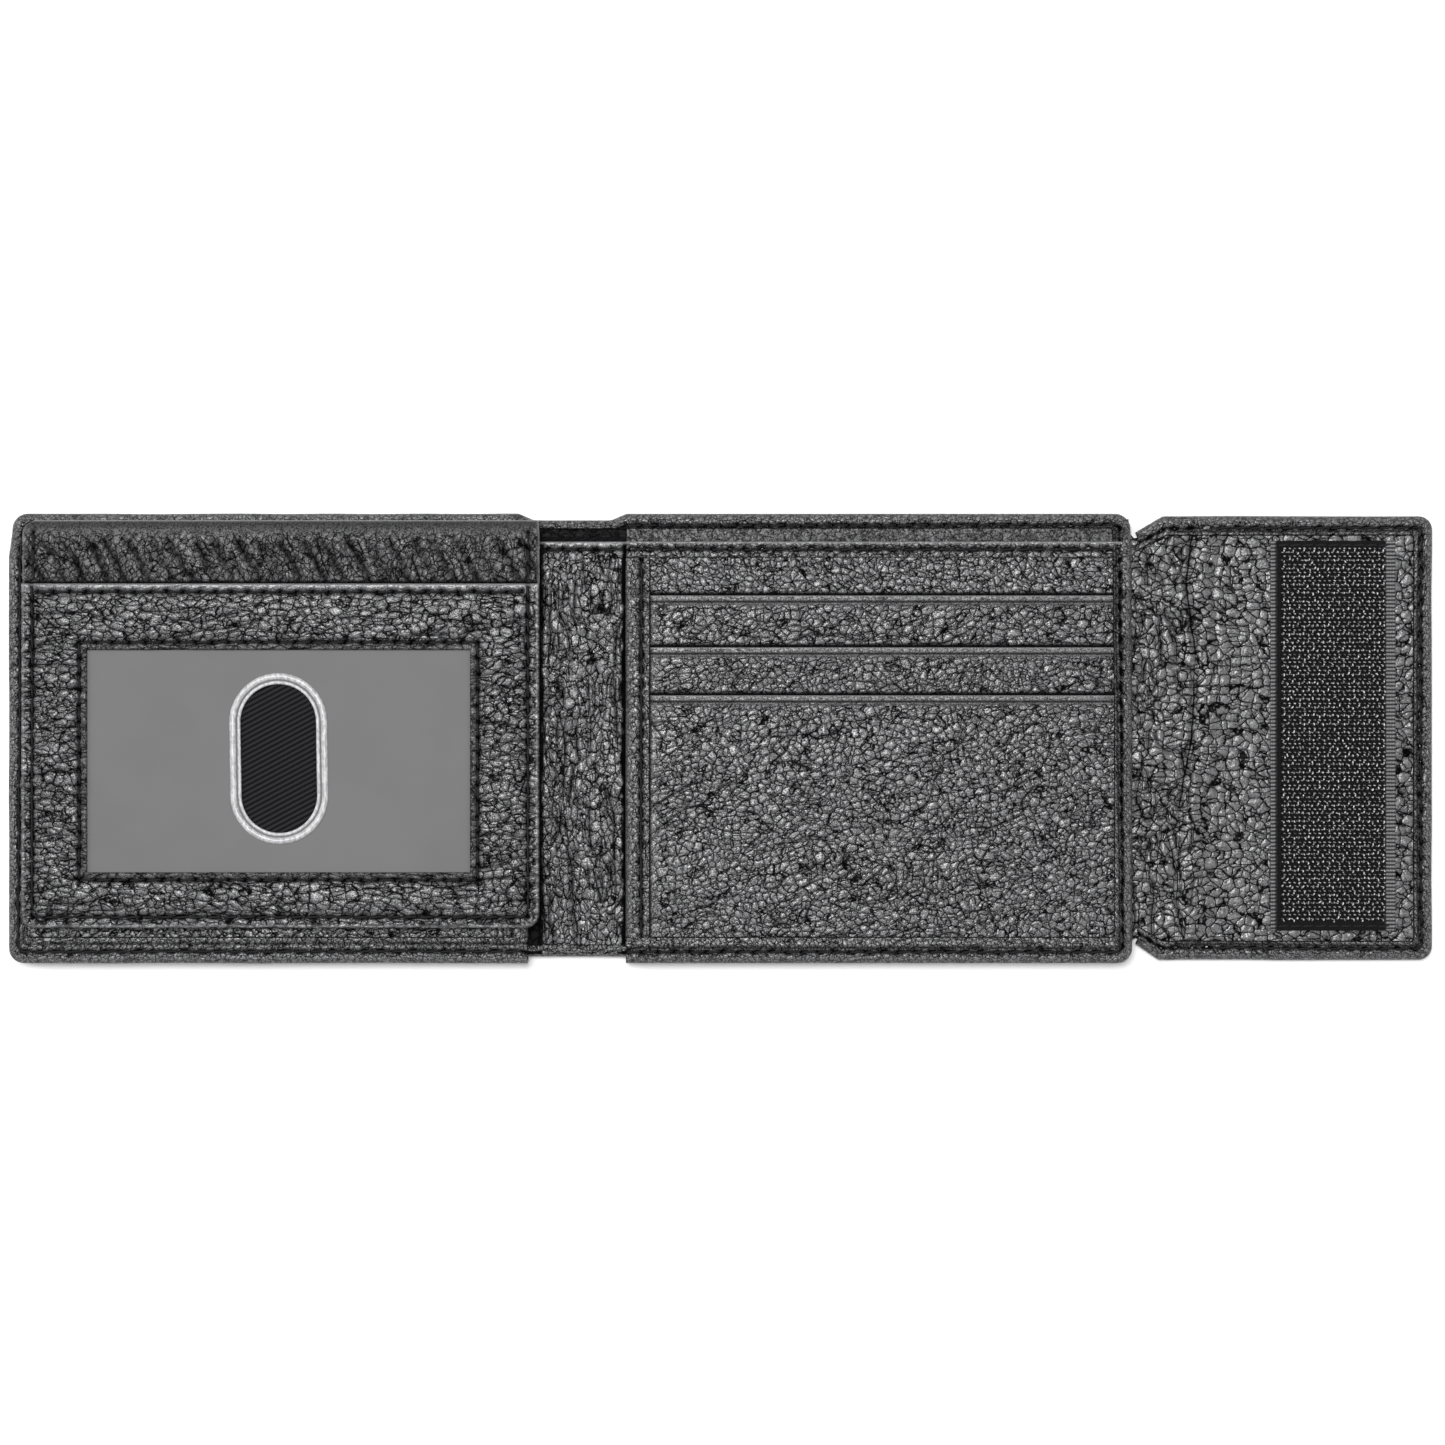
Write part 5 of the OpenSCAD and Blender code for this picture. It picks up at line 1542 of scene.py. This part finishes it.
def hook_tape():
    """The woven tape with its ribbed borders, the hooks on it, and its seam."""
    lo, hi = box("hook_tape")
    f_lo, f_hi = box("hook_field")
    outline, edge = rounded(lo[0], lo[1], hi[0], hi[1], (0.4, 0.4, 0.4, 0.4))

    def surface(x, y):
        side = (x < f_lo[0] + 0.2) | (x > f_hi[0] - 0.2)
        rib = 0.16 * np.abs(np.sin(math.pi * y / TAPE_RIB))
        return hi[2] + np.where(side, rib, 0.0)

    # Painted shade in the grooves between the side ribs, and a near-black field under the hooks.
    def gaps(x, y):
        side = (x < lo[0] + 1.15) | (x > f_hi[0] + 0.1)
        return np.where(side, 0.98 * np.cos(math.pi * y / TAPE_RIB) ** 2, 0.96)

    base = slab("hook_tape", lines(lo[0], hi[0], 0.6, [(f_lo[0], 0.4), (f_hi[0], 0.4)], 0.2),
                lines(lo[1], hi[1], 0.148, rim=0.2), surface, level(lo[2]), TAPE, edge, outline, roll=0.2,
                dark=gaps)
    settle(base, ["hook_tape"], "closing_flap")

    rng = np.random.default_rng(5)
    curves = []
    rows = int((f_hi[1] - f_lo[1]) / 1.6)
    cols = int((f_hi[0] - f_lo[0]) / 0.95)
    pitch = (f_hi[0] - f_lo[0]) / cols
    tall = f_hi[2] - f_lo[2]
    for r in range(rows):
        for c in range(cols):
            x = f_lo[0] + (c + 0.5) * (f_hi[0] - f_lo[0]) / cols + rng.normal(0, 0.11)
            y = f_lo[1] + (r + 0.5) * (f_hi[1] - f_lo[1]) / rows + rng.normal(0, 0.11)
            turn = 1 if (r + c) % 2 else -1
            h = tall * (0.85 + 0.13 * rng.random())
            reach = 0.22 + 0.26 * rng.random()
            lean = rng.normal(0, 0.3)
            pts = []
            for t in np.linspace(0, 1, 7):
                if t < 0.4:
                    pts.append((x, y, f_lo[2] - 0.05 + h * t / 0.4 * 0.62))
                else:
                    a = (t - 0.4) / 0.6 * math.pi * 1.15
                    pts.append((x + lean * (t - 0.4), y + turn * reach * (1 - math.cos(a)) / 2,
                                f_lo[2] + h * (0.62 + 0.36 * math.sin(a))))
            curves.append(pts)
        xs = np.arange(f_lo[0] + 0.1, f_hi[0], 0.15)
        yr = f_lo[1] + (r + 0.5) * (f_hi[1] - f_lo[1]) / rows + rng.normal(0, 0.05)
        swing = 2 * math.pi * (xs - f_lo[0]) / pitch
        for low in (0, 1):
            lift = (0.3 if low else 0.18) + 0.07 * rng.normal(0, 1, len(xs))
            curves.append(np.stack([xs, yr + 0.8 * low - 0.05 + 0.06 * np.sin(2 * swing),
                                    f_lo[2] + 0.28 + lift * np.sin(swing + math.pi * low)], -1))
    settle(tubes("hook_field", curves, 0.135, 5, HOOKS), ["hook_field"], "closing_flap")

    z = hi[2] + 0.14
    left, right, foot, head = lo[0] + 1.2, hi[0] - 0.9, lo[1] + 0.9, hi[1] - 0.9
    right_run = hi[0] - 2.2
    runs = [[(left, foot, z), (right, foot, z)], [(right_run, foot, z), (right_run, head, z)],
            [(right, head, z), (left, head, z)], [(left, head, z), (left, foot, z)]]
    threads("hook_tape_seam", runs, "closing_flap", **TAPE_SEAM)


def loop_patch():
    """The loop patch on the outside of the cover, its pile, and its seam."""
    lo, hi = box("loop_patch")
    outline, edge = rounded(lo[0], lo[1], hi[0], hi[1], (0.4, 0.4, 0.4, 0.4))
    base = slab("loop_patch", lines(lo[0], hi[0], 0.5, rim=0.2), lines(lo[1], hi[1], 0.5, rim=0.2),
                level(hi[2] - 0.1), lambda x, y: 0.22 + 0.05 * fractal(x / 1.1, y / 1.1, 121), PILE, edge,
                outline, roll=0.2)
    settle(base, ["loop_patch"], "left_panel")
    rng = np.random.default_rng(9)
    curves = []
    for gx in np.arange(lo[0] + 2.2, hi[0] - 2.0, 0.95):
        for gy in np.arange(lo[1] + 2.2, hi[1] - 2.0, 0.95):
            x, y = gx + rng.normal(0, 0.22), gy + rng.normal(0, 0.22)
            a = rng.random() * 2 * math.pi
            r = 0.35 + 0.2 * rng.random()
            pts = []
            for t in np.linspace(0, 1, 6):
                b = math.pi * t
                pts.append((x + r * math.cos(b) * math.cos(a), y + r * math.cos(b) * math.sin(a),
                            0.26 - 0.22 * math.sin(b)))
            curves.append(pts)
    settle(tubes("loop_pile", curves, 0.07, 4, PILE), [], "left_panel")
    x0, y0, x1, y1, z = lo[0] + 0.9, lo[1] + 0.9, hi[0] - 0.9, hi[1] - 0.9, 0.32
    corners = [(x0, y0, z), (x1, y0, z), (x1, y1, z), (x0, y1, z), (x0, y0, z)]
    threads("loop_patch_seam", [list(pair) for pair in zip(corners, corners[1:])], "left_panel", **TAPE_SEAM)


hook_tape()
loop_patch()


# ---- Floor, light and camera ----
VIEW_WIDTH = 0.2861
LENS, SENSOR = 85, 36
LIGHTS = (("softbox_top", (-0.12, 0.22, 1.25), 15.5),
          ("softbox_left", (-0.95, 0.35, 0.75), 4.5),
          ("softbox_right", (0.9, -0.3, 0.8), 3.0))


def stage():
    """A pale floor, a dim white world, three softboxes, and the camera straight above the wallet."""
    n = Nodes("pale_floor")
    n.link((0.93, 0.93, 0.93, 1), "Base Color")
    n.link(0.9, "Roughness")
    n.link(0.0, "Specular IOR Level")
    half = 3.0
    mesh = bpy.data.meshes.new("floor")
    corners = [(-half, -half, 0), (half, -half, 0), (half, half, 0), (-half, half, 0)]
    mesh.from_pydata(corners, [], [(0, 1, 2, 3)])
    mesh.materials.append(n.mat)
    floor = bpy.data.objects.new("floor", mesh)
    bpy.context.scene.collection.objects.link(floor)
    floor.location.z = -0.0002

    world = bpy.data.worlds.new("studio")
    bpy.context.scene.world = world
    world.use_nodes = True
    world.node_tree.nodes["Background"].inputs[0].default_value = (1, 1, 1, 1)
    world.node_tree.nodes["Background"].inputs[1].default_value = 0.22
    for name, place, power in LIGHTS:
        light = bpy.data.lights.new(name, "AREA")
        light.size = 0.5
        light.energy = power
        lamp = bpy.data.objects.new(name, light)
        lamp.location = place
        lamp.rotation_euler = (Vector((0, 0, 0)) - Vector(place)).to_track_quat("-Z", "Y").to_euler()
        bpy.context.scene.collection.objects.link(lamp)

    camera_data = bpy.data.cameras.new("camera")
    camera_data.lens = LENS
    camera_data.sensor_width = SENSOR
    camera = bpy.data.objects.new("camera", camera_data)
    camera.location = (0.0001, 0.0031, VIEW_WIDTH * LENS / SENSOR + 0.004)
    camera.rotation_euler = (0, 0, 0)
    bpy.context.scene.collection.objects.link(camera)
    bpy.context.scene.camera = camera
    bpy.context.scene.view_settings.view_transform = "Standard"


stage()
